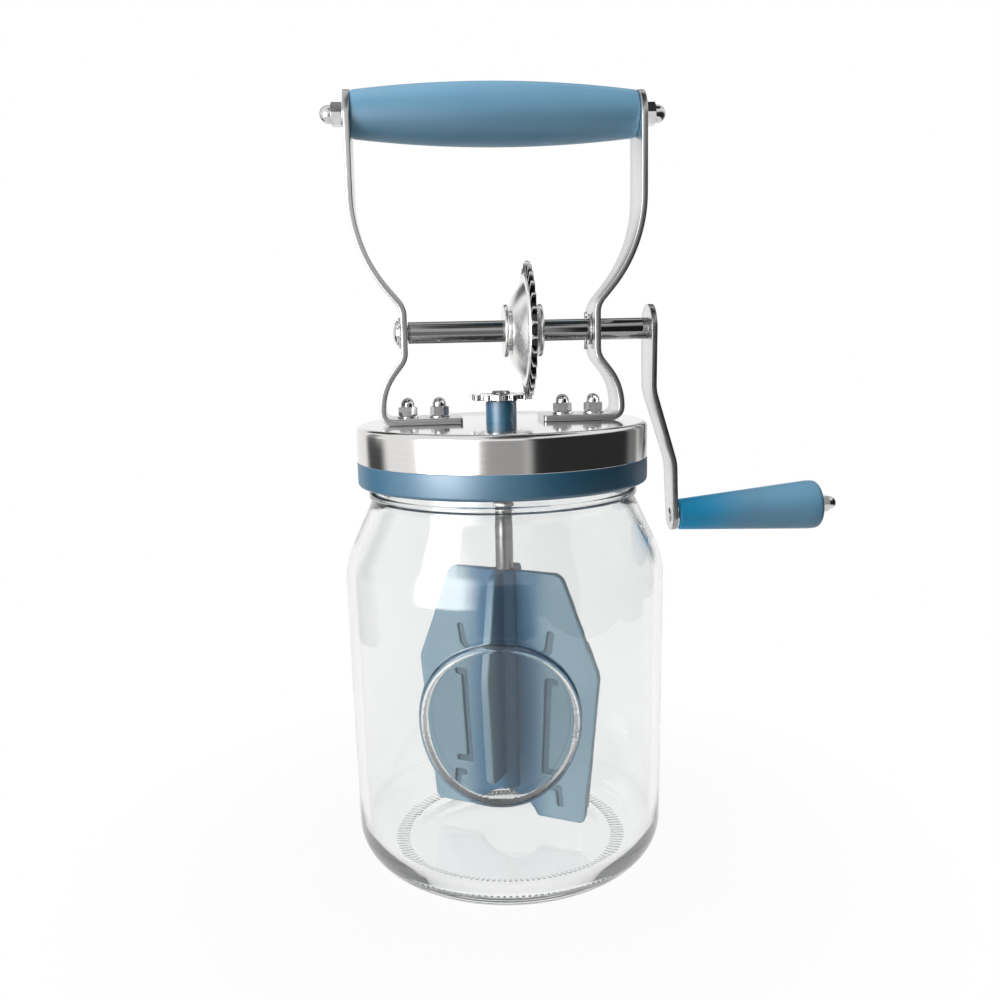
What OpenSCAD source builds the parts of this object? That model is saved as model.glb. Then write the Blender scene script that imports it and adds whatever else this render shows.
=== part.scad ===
// Hand-cranked glass butter churn: a jar with a twist-off lid, a gear pair and a paddle.
// Millimetres, +Z up. The origin is the centre of the face that the jar stands on.
// The crank axle runs along X with the knob on +X, and the jar's front faces -Y.

/* [Jar] */
// Widest outer radius of the glass body
jar_r = 55.5; // [52:0.5:60]
// How much narrower the body is just above its heel
jar_taper = 1.1; // [0.2:0.1:3]
// Thickness of the body wall
jar_wall = 3.2; // [2.2:0.1:4.5]
// Thickness of the glass floor
jar_floor = 5.5; // [4:0.5:8]
// Radius of the rounded heel
heel_r = 13; // [9:0.5:17]
// Height of the hollow under the base
push_up = 2; // [1:0.25:3]
// Width of the flat ring that the jar stands on
stand_w = 5; // [3:0.5:8]
// Height at which the shoulder starts
body_h = 101; // [94:1:120]
// Radius of the round where the body turns into the shoulder
shoulder_round = 26; // [18:1:32]
// Lean of the shoulder from the vertical, in degrees
shoulder_lean = 25; // [20:1:32]
// Height of the neck above the shoulder
neck_h = 21; // [20:0.5:26]
// Outer radius of the neck
neck_r = 44.4; // [43:0.2:47]
// Thickness of the neck wall
neck_wall = 3.4; // [2.6:0.1:4]
// How far the bead under the lid stands out of the neck
bead_out = 2; // [1:0.1:2.4]
// Height of that bead
bead_h = 2.2; // [1.5:0.1:2.8]
// Outer radius of the raised ring on the jar's front
ring_r = 26.3; // [18:0.1:30]
// Width of that ring's band
ring_band = 2.6; // [1.5:0.1:4]
// How far the ring stands out of the glass
ring_out = 1; // [0.5:0.1:1.6]
// Height of the ring's centre
ring_z = 65.5; // [55:0.5:68]
// Turn of the ring from the front towards -X, in degrees
ring_turn = 7.8; // [0:0.1:20]

/* [Closure] */
// Number of thread lugs on the jar, and on the lid
lugs = 4; // [3:1:5]
// How far a jar lug stands out of the neck
lug_out = 1.4; // [0.8:0.1:1.8]
// Height of a lug
lug_w = 2.6; // [1.8:0.1:3.2]
// Angle that a jar lug spans, in degrees
lug_span = 58; // [40:1:66]
// Slope of a lug, in degrees
lug_slope = 2.5; // [0:0.5:4]
// Depth of the jar's lugs below its rim
lug_drop = 5; // [4:0.5:6]
// How far a lid lug stands into the collar
lid_lug_in = 0.8; // [0.5:0.1:1.2]

/* [Lid] */
// Thickness of the sealing ring
seal_t = 2; // [1:0.1:3]
// Width of the sealing ring
seal_w = 4.6; // [3:0.1:5]
// Thickness of the collar's top plate
plate_t = 2; // [1.5:0.1:3]
// Thickness of the collar's wall
collar_wall = 2.9; // [2.2:0.1:4]
// Height of the blue band below the steel skirt
band_h = 8.2; // [5:0.1:9]
// Round along the band's lower edge
band_round = 1.6; // [0.5:0.1:2]
// Thickness of the steel cap
cap_t = 0.8; // [0.5:0.1:1.2]
// Height of the steel skirt
skirt_h = 12.1; // [9:0.1:13]
// Round along the cap's top edge
cap_round = 2.4; // [1.5:0.1:4]

/* [Gears] */
// Teeth on the drive gear
drive_teeth = 30; // [28:1:32]
// Teeth on the pinion
pinion_teeth = 13; // [12:1:14]
// Distance from tooth to tooth along the pitch circles
tooth_pitch = 4.65; // [4.4:0.05:4.9]
// Height of a tooth outside its pitch circle
tooth_out = 1.1; // [0.9:0.05:1.3]
// Depth of a tooth inside its pitch circle
tooth_in = 1.6; // [1.4:0.05:1.9]
// Width of a drive gear tooth at its root
drive_root_w = 1.9; // [1.5:0.05:2]
// Width of a drive gear tooth at its tip
drive_tip_w = 0.9; // [0.7:0.05:1.1]
// Width of a pinion tooth at its root
pinion_root_w = 2.3; // [1.9:0.05:2.4]
// Width of a pinion tooth at its tip
pinion_tip_w = 1.9; // [1.5:0.05:2]
// Thickness of the drive gear's rim
rim_t = 2; // [1.6:0.1:2.3]
// Thickness of the pinion
pinion_t = 1.9; // [1.5:0.1:2.2]
// Distance from the rim's middle to the web's middle along the axle
dish_depth = 5.4; // [4:0.1:6.2]
// Sheet thickness of the dish and its web
dish_t = 1.2; // [0.8:0.1:1.6]
// Radius where the dish meets the rim
dish_r = 16.6; // [15:0.1:18]
// Radius of the flat web in the middle of the dish
web_r = 9.6; // [9:0.1:11]
// Width of the raised bead between the dish and the teeth
rim_bead_w = 2.2; // [1:0.1:2.8]
// Height of that bead
rim_bead_h = 0.5; // [0.2:0.1:1]

/* [Axle and hub] */
// Diameter of the crank axle
axle_d = 7.3; // [6:0.1:8]
// Diameter of the axle's thin end in the left bracket
journal_d = 5; // [4:0.1:5.4]
// Diameter of the axle's flatted end in the crank arm
tenon_d = 5.4; // [4.5:0.1:5.8]
// Width across that end's flats
tenon_flat = 4.4; // [3.6:0.1:4.8]
// Diameter of the axle's peened end outside the arm
peen_d = 7.2; // [6.4:0.1:8]
// Height of that peened end
peen_h = 0.8; // [0.5:0.1:1.2]
// Outer diameter of the hub sleeve
hub_d = 11; // [10:0.1:13]
// Diameter of the hub flanges
flange_d = 17.8; // [15:0.1:19]
// Thickness of a hub flange
flange_t = 1.5; // [1:0.1:1.8]
// Gap between the left flange and the web
hub_step = 0.9; // [0.5:0.1:1.4]
// Distance from the rim's face to the right flange
hub_tail = 2.3; // [1.5:0.1:4]
// Depth of the domed cap on the axle's thin end
axle_cap_h = 1.9; // [1.5:0.1:2.5]
// Thickness of that cap over the axle's end
axle_cap_wall = 0.5; // [0.3:0.1:0.7]
// Width of that cap's rim around the axle
axle_cap_rim = 1.7; // [1.2:0.1:2.2]
// Diameter of the split pin
split_d = 1.2; // [1:0.1:1.5]
// Length of the split pin's spread legs
split_leg = 3.4; // [2:0.1:4]

/* [Bush, spindle and stem] */
// Diameter of the bush above the lid
bush_d = 10.6; // [9:0.1:12]
// Height of the bush above the lid
bush_rise = 7.3; // [6.5:0.1:9]
// Diameter of the bush's flange under the lid
bush_flange_d = 18; // [14:0.5:24]
// Thickness of that flange
bush_flange_t = 2; // [1.5:0.1:3]
// Length of the bush below its flange
bush_tail = 3; // [2:0.1:6]
// Diameter of the spindle
spindle_d = 5.8; // [5:0.1:6.4]
// Diameter of the spindle's ends in the pinion and the stem
spindle_end_d = 4.2; // [3.6:0.1:4.6]
// Width across the flats of the end in the pinion
spindle_flat = 3.4; // [2.8:0.1:3.5]
// Diameter of the peened head on top of the pinion
head_d = 6.8; // [6:0.1:8]
// Height of that head
head_h = 1.1; // [0.6:0.1:1.6]
// Outer diameter of the paddle stem
stem_d = 6.3; // [5.8:0.1:7]
// Length of the stem above the paddle
stem_rise = 20.5; // [12:0.5:24]
// Length of the stem inside the paddle
stem_grip = 40; // [25:1:60]
// Depth of the threaded hole in the stem's top
stem_bore_h = 18; // [12:0.5:20]
// Width across the flats of the stem's lock nut
lock_nut_af = 7; // [6.5:0.1:8]
// Height of the lock nut
lock_nut_h = 3.6; // [2.5:0.1:5]
// Width of the retaining clip around the spindle
clip_w = 2.3; // [1.5:0.1:3]
// Thickness of the retaining clip
clip_t = 1; // [0.6:0.1:1.4]

/* [Paddle] */
// Radius of the blades at their widest
blade_r = 35; // [30:0.5:38]
// Radius of the blades at their top corners
blade_top_r = 21.4; // [16:0.2:28]
// Radius of the blades at their foot
blade_foot_r = 29.5; // [24:0.5:34]
// Height of the paddle
blade_h = 89.7; // [80:0.5:92]
// Height of the widest point above the paddle's foot
blade_wide_h = 55; // [40:1:70]
// Thickness of a blade
blade_t = 3; // [2.2:0.1:4]
// Gap between the paddle and the jar's floor
blade_floor_gap = 6.2; // [4:0.1:9]
// Half width of the arch between the blades' feet
arch_half = 11.7; // [9:0.1:14]
// Height of that arch
arch_h = 8; // [5:0.5:11]
// Reach of the two cross blades as a share of the wide ones
cross_share = 0.55; // [0.4:0.05:0.7]
// Height of the cross blades' foot above the paddle's foot
cross_low = 16; // [13:1:24]
// Diameter of the paddle's hub
paddle_hub_d = 10.4; // [9:0.1:13]
// Height of the hub's lower end above the paddle's foot
paddle_hub_low = 10; // [9:0.5:12]
// Distance of the slots from the paddle's axis
slot_r = 16.5; // [14:0.1:18]
// Width of a slot
slot_w = 2.2; // [1.6:0.1:2.8]
// Thickness of the web left in the bottom of a slot
slot_web = 1; // [0.6:0.1:1.4]
// Length of the hooks at a slot's ends
slot_hook = 3.5; // [2:0.1:4.5]
// Height of the long slot's foot above the paddle's foot
slot_low = 17.5; // [16:0.1:20]
// Length of the long slot
slot_len = 33.5; // [26:0.1:36]
// Length of the short slots above and below it
slot_short = 7; // [5:0.1:8]
// Turn of the paddle at rest, in degrees
paddle_turn = -29; // [-44:1:44]

/* [Brackets] */
// Width of the bracket strip
strap_w = 18; // [15:0.5:20]
// Thickness of the bracket strip
strap_t = 2.1; // [1.6:0.1:2.4]
// Distance from the middle to the inner face at the axle
waist_x = 31.3; // [29:0.1:33]
// Distance from the middle to the outer face at the lower belly
belly_x = 41.4; // [40:0.1:44]
// Distance from the middle to the inner face at the grip
top_x = 47.2; // [45:0.1:50]
// Distance from the middle to the foot's inner end
foot_x = 13.7; // [12:0.1:15]
// Lean of the strip above the axle, in degrees
upper_lean = 40; // [34:1:46]
// Lean of the strip below the axle, in degrees
lower_lean = 38; // [32:1:44]
// Bend radius of the wide curve below the grip
upper_bend = 46.8; // [30:0.2:50]
// Bend radius of the lower belly
belly_bend = 20; // [12:0.5:24]
// Bend radius above and below the waist
waist_bend = 7; // [4:0.5:9]
// Bend radius at the foot
foot_bend = 3.4; // [2:0.1:4.4]
// Height of the straight waist above the axle
waist_up = 5.6; // [5:0.1:8]
// Height of the grip's axis above the axle
grip_rise = 70.4; // [66:0.1:80]
// Length of the strip above the grip's axis
strap_end = 7.6; // [6.5:0.1:9]
// Distance from the middle to the inner foot bolt
bolt_x = 21.3; // [20:0.1:23]
// Distance between the two bolts of a foot
bolt_pitch = 10.75; // [9.5:0.05:11.5]

/* [Grip] */
// Diameter of the grip in its middle
grip_d = 20.5; // [17:0.1:24]
// Diameter of the grip at its ends
grip_end_d = 15; // [12:0.1:17]
// Round along the edges of the grip's ends
grip_edge = 1.2; // [0.5:0.1:2]
// Diameter of the rod through the grip
rod_d = 4; // [3.5:0.1:4.4]

/* [Crank] */
// Distance from the axle to the knob's pivot
arm_len = 65.8; // [62:0.1:67]
// Distance from the middle to the arm's inner face at the axle
arm_x = 50.9; // [49:0.1:53]
// Thickness of the arm
arm_t = 2; // [1.6:0.1:2.4]
// Width of the arm at the axle
arm_w = 16.4; // [13:0.1:18]
// Width of the arm at the knob
arm_tip_w = 10.6; // [8.5:0.1:13]
// Distance between the arm's two ends along the axle
arm_offset = 7.8; // [7:0.1:11]
// Lean of the arm's middle, in degrees
arm_lean = 17; // [14:0.5:24]
// Bend radius of the arm
arm_bend = 15; // [8:0.5:18]
// Straight length below the axle
arm_straight = 19; // [12:0.5:22]
// Length of the arm past the knob's pivot
arm_tip = 5.3; // [4:0.1:6]
// Upward tilt of the knob, in degrees
knob_tilt = 2.2; // [0:0.1:4]
// Length of the knob
knob_len = 51.6; // [42:0.1:60]
// Largest diameter of the knob
knob_d = 17.4; // [14:0.1:20]
// Diameter of the knob beside the arm
knob_neck_d = 10.8; // [9:0.1:13]
// Round at the knob's outer end
knob_round = 5; // [3:0.1:6]
// Diameter of the knob's spindle
knob_pin_d = 4; // [3.5:0.1:5]
// Diameter of the spacer between the arm and the knob
spacer_d = 9.8; // [8:0.1:11]
// Diameter of the rivet head that holds the spindle in the arm
rivet_d = 6; // [5.6:0.1:7]
// Height of that rivet head
rivet_h = 0.5; // [0.3:0.1:0.7]

/* [Fasteners] */
// Diameter of the small bolts
bolt_d = 3; // [2.5:0.1:3.4]
// Width across the flats of the small cap nuts
nut_af = 5.6; // [5:0.1:6.2]
// Width across the flats of the grip's cap nuts
rod_nut_af = 7; // [6.2:0.1:7.6]
// Diameter of the grip's washers
rod_washer_d = 8.2; // [7.8:0.1:9]
// Diameter of a small washer
washer_d = 7.2; // [6.6:0.1:8]
// Diameter of the axle's washers
axle_washer_d = 10.4; // [9.5:0.1:12]
// Thickness of a washer
washer_t = 0.6; // [0.4:0.05:0.8]
// Diameter of the bolt heads under the lid
bolt_head_d = 5.6; // [5:0.1:6.4]
// Height of the bolt heads
bolt_head_h = 1.6; // [1:0.1:2]

/* [Fits] */
// Radial clearance of a turning fit
run_gap = 0.06; // [0.03:0.01:0.1]
// Radial clearance of a fixed fit
fix_gap = 0.04; // [0.02:0.01:0.06]
// Clearance along the axis of a turning piece
end_gap = 0.2; // [0.1:0.05:0.3]
// Radial clearance between the lugs of the jar and the lid
lug_gap = 0.4; // [0.3:0.05:0.6]

/* [Hidden] */
$fn = 96;

// Angle of one step along a rounded outline
arc_step = 7.5;
// Depth by which joined shapes reach into each other
sink = 0.3;
// Extra reach of a cutting shape
over = 1;

glass = [0.80, 0.88, 0.88, 0.4];
blue = [0.36, 0.50, 0.62];
steel = [0.78, 0.79, 0.80];
bright = [0.86, 0.86, 0.87];
rubber = [0.90, 0.90, 0.88];

// Jar heights and radii
foot_body_r = jar_r - jar_taper;
stand_r = foot_body_r - heel_r;
shoulder_c = jar_r - shoulder_round;
shoulder_end_r = neck_r + bead_out / 2;
shoulder_arc_r = shoulder_c + shoulder_round * cos(shoulder_lean);
shoulder_arc_z = body_h + shoulder_round * sin(shoulder_lean);
shoulder_z = shoulder_arc_z + (shoulder_arc_r - shoulder_end_r) / tan(shoulder_lean);
jar_h = shoulder_z + neck_h;
mouth_r = neck_r - neck_wall;
inner_heel_r = heel_r - jar_wall;
inner_arc = shoulder_round - jar_wall;
inner_arc_r = shoulder_c + inner_arc * cos(shoulder_lean);
inner_arc_z = body_h + inner_arc * sin(shoulder_lean);
inner_neck_z = inner_arc_z + (inner_arc_r - mouth_r) / tan(shoulder_lean);
rim_round = neck_wall * 0.32;
bead_z = shoulder_z + bead_h * 0.4;
lug_z = jar_h - lug_drop;

// Lid radii and heights
collar_bore = neck_r + lug_out + lug_gap + lid_lug_in;
lid_r = collar_bore + collar_wall;
plate_z = jar_h + seal_t;
cap_under_z = plate_z + plate_t;
lid_top = cap_under_z + cap_t;
skirt_z = lid_top - skirt_h;
band_z = skirt_z - band_h;
collar_r = lid_r - cap_t - fix_gap;
under_round = cap_round - cap_t;

// Bush, gears and axle
bush_r = bush_d / 2;
spindle_r = spindle_d / 2;
bush_top = lid_top + bush_rise;
bush_low = plate_z - bush_flange_t - bush_tail;
pinion_z = bush_top + end_gap;
pinion_top = pinion_z + pinion_t;
drive_r = drive_teeth * tooth_pitch / (2 * PI);
pinion_r = pinion_teeth * tooth_pitch / (2 * PI);
axle_z = pinion_z + pinion_t / 2 + drive_r;
axle_r = axle_d / 2;
rim_x = pinion_r;
web_x = rim_x - dish_depth;
hub_left_x = web_x - dish_t / 2 - hub_step;
hub_right_x = rim_x + rim_t / 2 + hub_tail;
shoulder_x = waist_x - end_gap;
cap_washer_x = waist_x + strap_t + end_gap;
axle_cap_x = cap_washer_x + washer_t;
thrust_x = waist_x - end_gap - washer_t;
split_x = thrust_x - end_gap - split_d / 2;

// Bracket path, along the middle of the strip
waist_mid = waist_x + strap_t / 2;
belly_mid = belly_x - strap_t / 2;
top_mid = top_x + strap_t / 2;
lower_turn = 1 - cos(lower_lean);
upper_turn = 1 - cos(upper_lean);
least_run = 0.5;
lower_reach = belly_mid - waist_mid - least_run;
upper_reach = top_mid - waist_mid - least_run;
belly_fit = min(belly_bend, lower_reach / lower_turn - waist_bend);
upper_fit = min(upper_bend, upper_reach / upper_turn - waist_bend);
lower_run = (belly_mid - waist_mid - (belly_fit + waist_bend) * lower_turn) / sin(lower_lean);
upper_run = (top_mid - waist_mid - (upper_fit + waist_bend) * upper_turn) / sin(upper_lean);
foot_mid_z = lid_top + strap_t / 2;
foot_top = lid_top + strap_t;
lower_rise = (belly_fit + waist_bend) * sin(lower_lean) + lower_run * cos(lower_lean);
waist_low_z = foot_mid_z + foot_bend + least_run + lower_rise;
waist_run = axle_z + waist_up - waist_low_z;
upper_rise = (upper_fit + waist_bend) * sin(upper_lean) + upper_run * cos(upper_lean);
grip_z = axle_z + grip_rise;
strap_tail = grip_z + strap_end - axle_z - waist_up - upper_rise;
bolt_places = [-bolt_x - bolt_pitch, -bolt_x, bolt_x, bolt_x + bolt_pitch];

// Crank arm path and the knob's pivot
arm_mid = arm_x + arm_t / 2;
arm_back_lean = arm_lean - knob_tilt;
arm_in_x = arm_bend * (1 - cos(arm_lean));
arm_out_x = arm_bend * (cos(knob_tilt) - cos(arm_lean));
arm_in_z = arm_bend * sin(arm_lean);
arm_out_z = arm_bend * (sin(arm_lean) - sin(knob_tilt));
arm_run = (arm_offset - arm_in_x - arm_out_x) / sin(arm_lean);
arm_bent_z = axle_z - arm_straight - arm_in_z - arm_out_z - arm_run * cos(arm_lean);
pivot_z = axle_z - arm_len;
pivot_x = arm_mid + arm_offset + (arm_bent_z - pivot_z) * tan(knob_tilt);
arm_tail = (arm_bent_z - pivot_z) / cos(knob_tilt) + arm_tip;
arm_end_up = arm_w / 2;

// Knob, along its own axis from the middle of the arm
spacer_x = arm_t / 2;
knob_x = spacer_x + washer_t + end_gap;
knob_end_x = knob_x + knob_len;
knob_washer_x = knob_end_x + end_gap;
knob_nut_x = knob_washer_x + washer_t;

// Cap nuts: hexagon, dome and thread depth from the width across the flats
nut_hex_h = nut_af * 0.56;
nut_depth = nut_hex_h + nut_af * 0.3;
rod_nut_hex_h = rod_nut_af * 0.5;
rod_nut_depth = rod_nut_hex_h + rod_nut_af * 0.25;

// Stem and paddle
blade_foot_z = jar_floor + blade_floor_gap;
blade_top_z = blade_foot_z + blade_h;
stem_top = blade_top_z + stem_rise;
stem_low = blade_top_z - stem_grip;
spindle_low = stem_top - stem_bore_h + over;
clip_z = bush_low - end_gap - clip_t;
clip_d = spindle_d + 2 * clip_w;
arch_r = (arch_half * arch_half + arch_h * arch_h) / (2 * arch_h);

// Points along an arc around c from angle a to angle b
function arc(c, r, a, b) =
    let (n = max(2, ceil(abs(b - a) / arc_step)))
    [for (i = [0:n]) c + r * [cos(a + (b - a) * i / n), sin(a + (b - a) * i / n)]];

// Points and headings along a strip of straight runs [length, bend radius, bend angle] and a tail
function strip_path(runs, tail, p, h, i = 0) =
    i == len(runs)
    ? [[p, h], [p + tail * [cos(h), sin(h)], h]]
    : let (
        q = p + runs[i][0] * [cos(h), sin(h)],
        s = sign(runs[i][2]),
        r = runs[i][1] * s,
        n = max(2, ceil(abs(runs[i][2]) / arc_step)),
        c = q + r * [-sin(h), cos(h)],
        turns = [for (k = [0:n]) h + runs[i][2] * k / n],
        bend = [for (k = [0:n - 1]) [c + r * [sin(turns[k]), -cos(turns[k])], turns[k]]],
        last = c + r * [sin(turns[n]), -cos(turns[n])]
    )
    concat([[p, h]], bend, strip_path(runs, tail, last, turns[n], i + 1));

// Outline of a strip of even thickness along a path
function strip_outline(path, t) = concat(
    [for (s = path) s[0] + t / 2 * [-sin(s[1]), cos(s[1])]],
    [for (i = [len(path) - 1:-1:0]) path[i][0] - t / 2 * [-sin(path[i][1]), cos(path[i][1])]]
);

// Places children along X instead of Z
module along_x() {
    rotate([0, 90, 0]) children();
}

// Places children on the crank axle's line
module on_axle() {
    translate([0, 0, axle_z]) along_x() children();
}

// Places children on the grip's line
module on_grip() {
    translate([0, 0, grip_z]) along_x() children();
}

// Places children on the knob's line, with their start in the middle of the arm
module on_knob() {
    translate([pivot_x, 0, pivot_z]) rotate([0, -knob_tilt, 0]) along_x() children();
}

// Flat ring
module ring(outer_d, inner_d, h) {
    difference() {
        cylinder(d = outer_d, h = h);
        translate([0, 0, -over]) cylinder(d = inner_d, h = h + 2 * over);
    }
}

// Round bar with two flats
module flatted(d, flat, h) {
    linear_extrude(h) intersection() {
        circle(d = d);
        square([flat, d + over], center = true);
    }
}

// Hexagon nut body with both rims of its corners turned off
module hexagon(af, h) {
    corner = af / cos(30);
    cut = (corner - af) / 2;
    intersection() {
        cylinder(d = corner, h = h, $fn = 6);
        rotate_extrude() polygon([
            [0, 0], [af / 2, 0], [corner / 2, cut], [corner / 2, h - cut], [af / 2, h], [0, h]
        ]);
    }
}

// Domed cap nut with a blind thread hole
module cap_nut(af, hex_h, depth, thread_d) {
    dome_r = af * 0.42;
    neck = af * 0.12;
    difference() {
        union() {
            hexagon(af, hex_h);
            rotate_extrude() polygon(concat(
                [[0, hex_h - sink], [dome_r, hex_h - sink]],
                arc([0, hex_h + neck], dome_r, 0, 90)
            ));
        }
        translate([0, 0, -over]) cylinder(d = thread_d + 2 * fix_gap, h = depth + over);
    }
}

// Toothed disc, with a tooth on +X or, half a tooth on, a gap there
module toothed_disc(teeth, pitch_r, root_w, tip_w, phase) {
    root_r = pitch_r - tooth_in;
    tip_r = pitch_r + tooth_out;
    circle(r = root_r);
    for (k = [0:teeth - 1]) rotate((k + phase) * 360 / teeth) polygon([
        [root_r - sink, -root_w / 2], [tip_r, -tip_w / 2], [tip_r, tip_w / 2], [root_r - sink, root_w / 2]
    ]);
}

// Half outline of the jar's glass, from the axis under the base round to the floor
function jar_outline() = concat(
    [[0, push_up], [(stand_r - stand_w) * 0.55, push_up * 0.8], [stand_r - stand_w, 0]],
    arc([stand_r, heel_r], heel_r, -90, 0),
    arc([shoulder_c, body_h], shoulder_round, 0, shoulder_lean),
    [[shoulder_end_r, shoulder_z], [neck_r, shoulder_z + bead_out / 4], [neck_r, bead_z]],
    [[neck_r + bead_out * 0.75, bead_z], [neck_r + bead_out, bead_z + bead_h * 0.3]],
    [[neck_r + bead_out, bead_z + bead_h * 0.7], [neck_r + bead_out * 0.75, bead_z + bead_h]],
    [[neck_r, bead_z + bead_h]],
    arc([neck_r - rim_round, jar_h - rim_round], rim_round, 0, 90),
    arc([mouth_r + rim_round, jar_h - rim_round], rim_round, 90, 180),
    [[mouth_r, inner_neck_z]],
    arc([shoulder_c, body_h], inner_arc, shoulder_lean, 0),
    arc([foot_body_r - jar_wall - inner_heel_r, jar_floor + inner_heel_r], inner_heel_r, 0, -90),
    [[0, jar_floor]]
);

// One lug of the jar's thread, standing out of the neck at +X
module jar_lug() {
    mid = neck_r + lug_out;
    rotate([lug_slope, 0, 0]) rotate([0, 0, -lug_span / 2]) rotate_extrude(angle = lug_span) polygon([
        [neck_r - sink * 2, -lug_w / 2], [mid, -lug_w * 0.2],
        [mid, lug_w * 0.2], [neck_r - sink * 2, lug_w / 2]
    ]);
}

// Plain raised ring on the front of the glass
module front_ring() {
    reach = jar_r + 2 * ring_out;
    rotate([0, 0, -ring_turn]) intersection() {
        translate([0, 0, ring_z]) rotate([90, 0, 0]) ring(2 * ring_r, 2 * (ring_r - ring_band), reach);
        rotate_extrude() polygon([
            [foot_body_r - jar_wall / 2, heel_r], [foot_body_r + ring_out, heel_r],
            [jar_r + ring_out, body_h], [jar_r - jar_wall / 2, body_h]
        ]);
    }
}

module glass_jar() {
    color(glass) {
        rotate_extrude() polygon(jar_outline());
        for (k = [0:lugs - 1]) translate([0, 0, lug_z]) rotate([0, 0, k * 360 / lugs]) jar_lug();
        front_ring();
    }
}

module lid_seal() {
    color(rubber) translate([0, 0, jar_h]) ring(2 * neck_r, 2 * (neck_r - seal_w), seal_t);
}

// Holes for the foot bolts
module bolt_holes(z, h) {
    for (x = bolt_places) translate([x, 0, z - over]) cylinder(d = bolt_d + 2 * fix_gap, h = h + 2 * over);
}

// One lug inside the collar, standing in at +X
module lid_lug() {
    tip = collar_bore - lid_lug_in;
    span = lug_span / 2;
    rotate([0, 0, -span / 2]) rotate_extrude(angle = span) polygon([
        [tip, -lug_w * 0.2], [collar_bore + sink, -lug_w / 2],
        [collar_bore + sink, lug_w / 2], [tip, lug_w * 0.2]
    ]);
}

module lid_collar() {
    lug_low_z = lug_z - lug_w * 2;
    color(blue) difference() {
        union() {
            rotate_extrude() polygon(concat(
                [[bush_r + fix_gap, plate_z], [collar_bore, plate_z], [collar_bore, band_z]],
                arc([lid_r - band_round, band_z + band_round], band_round, -90, 0),
                [[lid_r, skirt_z], [collar_r, skirt_z]],
                arc([collar_r - under_round, cap_under_z - under_round], under_round, 0, 90),
                [[bush_r + fix_gap, cap_under_z]]
            ));
            for (k = [0:lugs - 1]) translate([0, 0, lug_low_z]) rotate([0, 0, k * 360 / lugs]) lid_lug();
        }
        bolt_holes(plate_z, plate_t);
    }
}

module lid_cap() {
    color(steel) difference() {
        rotate_extrude() polygon(concat(
            [[bush_r + fix_gap, cap_under_z]],
            arc([lid_r - cap_t - under_round, cap_under_z - under_round], under_round, 90, 0),
            [[lid_r - cap_t, skirt_z], [lid_r, skirt_z]],
            arc([lid_r - cap_round, lid_top - cap_round], cap_round, 0, 90),
            [[bush_r + fix_gap, lid_top]]
        ));
        bolt_holes(cap_under_z, cap_t);
    }
}

module spindle_bush() {
    tall = bush_top - bush_low;
    color(blue) difference() {
        union() {
            translate([0, 0, bush_low]) cylinder(r = bush_r, h = tall);
            translate([0, 0, plate_z - bush_flange_t]) cylinder(d = bush_flange_d, h = bush_flange_t);
        }
        translate([0, 0, bush_low - over]) cylinder(r = spindle_r + run_gap, h = tall + 2 * over);
    }
}

// Rounds off the end of a strip: the part of a square outside a half circle
module end_trim(w, h) {
    linear_extrude(h, center = true) difference() {
        translate([0, -w]) square([w, 2 * w]);
        circle(d = w);
    }
}

// Right bracket, with its axle hole at the given diameter
module bracket(hole_d) {
    runs = [
        [belly_mid - foot_bend - foot_x, foot_bend, 90],
        [least_run, belly_fit, lower_lean],
        [lower_run, waist_bend, -lower_lean],
        [waist_run, waist_bend, -upper_lean],
        [upper_run, upper_fit, upper_lean]
    ];
    path = strip_path(runs, strap_tail, [foot_x, foot_mid_z], 0);
    deep = strap_t + 2 * over;
    difference() {
        rotate([90, 0, 0]) linear_extrude(strap_w, center = true) polygon(strip_outline(path, strap_t));
        translate([top_mid, 0, grip_z + strap_end - strap_w / 2]) rotate([0, -90, 0])
            end_trim(strap_w, deep);
        translate([waist_mid - deep / 2, 0, axle_z]) along_x() cylinder(d = hole_d, h = deep);
        translate([top_mid - deep / 2, 0, grip_z]) along_x() cylinder(d = rod_d + 2 * fix_gap, h = deep);
        bolt_holes(lid_top, strap_t);
    }
}

module left_bracket() {
    color(steel) mirror([1, 0, 0]) bracket(journal_d + 2 * run_gap);
}

module right_bracket() {
    color(steel) bracket(axle_d + 2 * run_gap);
}

module foot_bolts() {
    head_z = plate_z - bolt_head_h;
    tip_z = foot_top + washer_t + nut_depth - fix_gap;
    color(steel) for (x = bolt_places) translate([x, 0, head_z]) {
        cylinder(d1 = bolt_head_d * 0.8, d2 = bolt_head_d, h = bolt_head_h);
        cylinder(d = bolt_d, h = tip_z - head_z);
    }
}

module foot_washers() {
    color(steel) for (x = bolt_places) translate([x, 0, foot_top])
        ring(washer_d, bolt_d + 2 * fix_gap, washer_t);
}

module foot_nuts() {
    color(bright) for (x = bolt_places) translate([x, 0, foot_top + washer_t])
        cap_nut(nut_af, nut_hex_h, nut_depth, bolt_d);
}

module grip_rod() {
    half = top_x + strap_t + washer_t + rod_nut_depth - fix_gap;
    color(steel) on_grip() cylinder(d = rod_d, h = 2 * half, center = true);
}

module handle_grip() {
    half = top_x - fix_gap;
    end_r = grip_end_d / 2;
    bulge = grip_d / 2 - end_r;
    belly_r = (half * half + bulge * bulge) / (2 * bulge);
    belly_a = asin((half - grip_edge) / belly_r);
    belly_c = grip_d / 2 - belly_r;
    color(blue) on_grip() rotate_extrude() polygon(concat(
        [[rod_d / 2 + fix_gap, -half], [end_r - grip_edge, -half]],
        [for (k = [-12:12]) [belly_c + belly_r * cos(belly_a * k / 12), belly_r * sin(belly_a * k / 12)]],
        [[end_r - grip_edge, half], [rod_d / 2 + fix_gap, half]]
    ));
}

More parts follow.
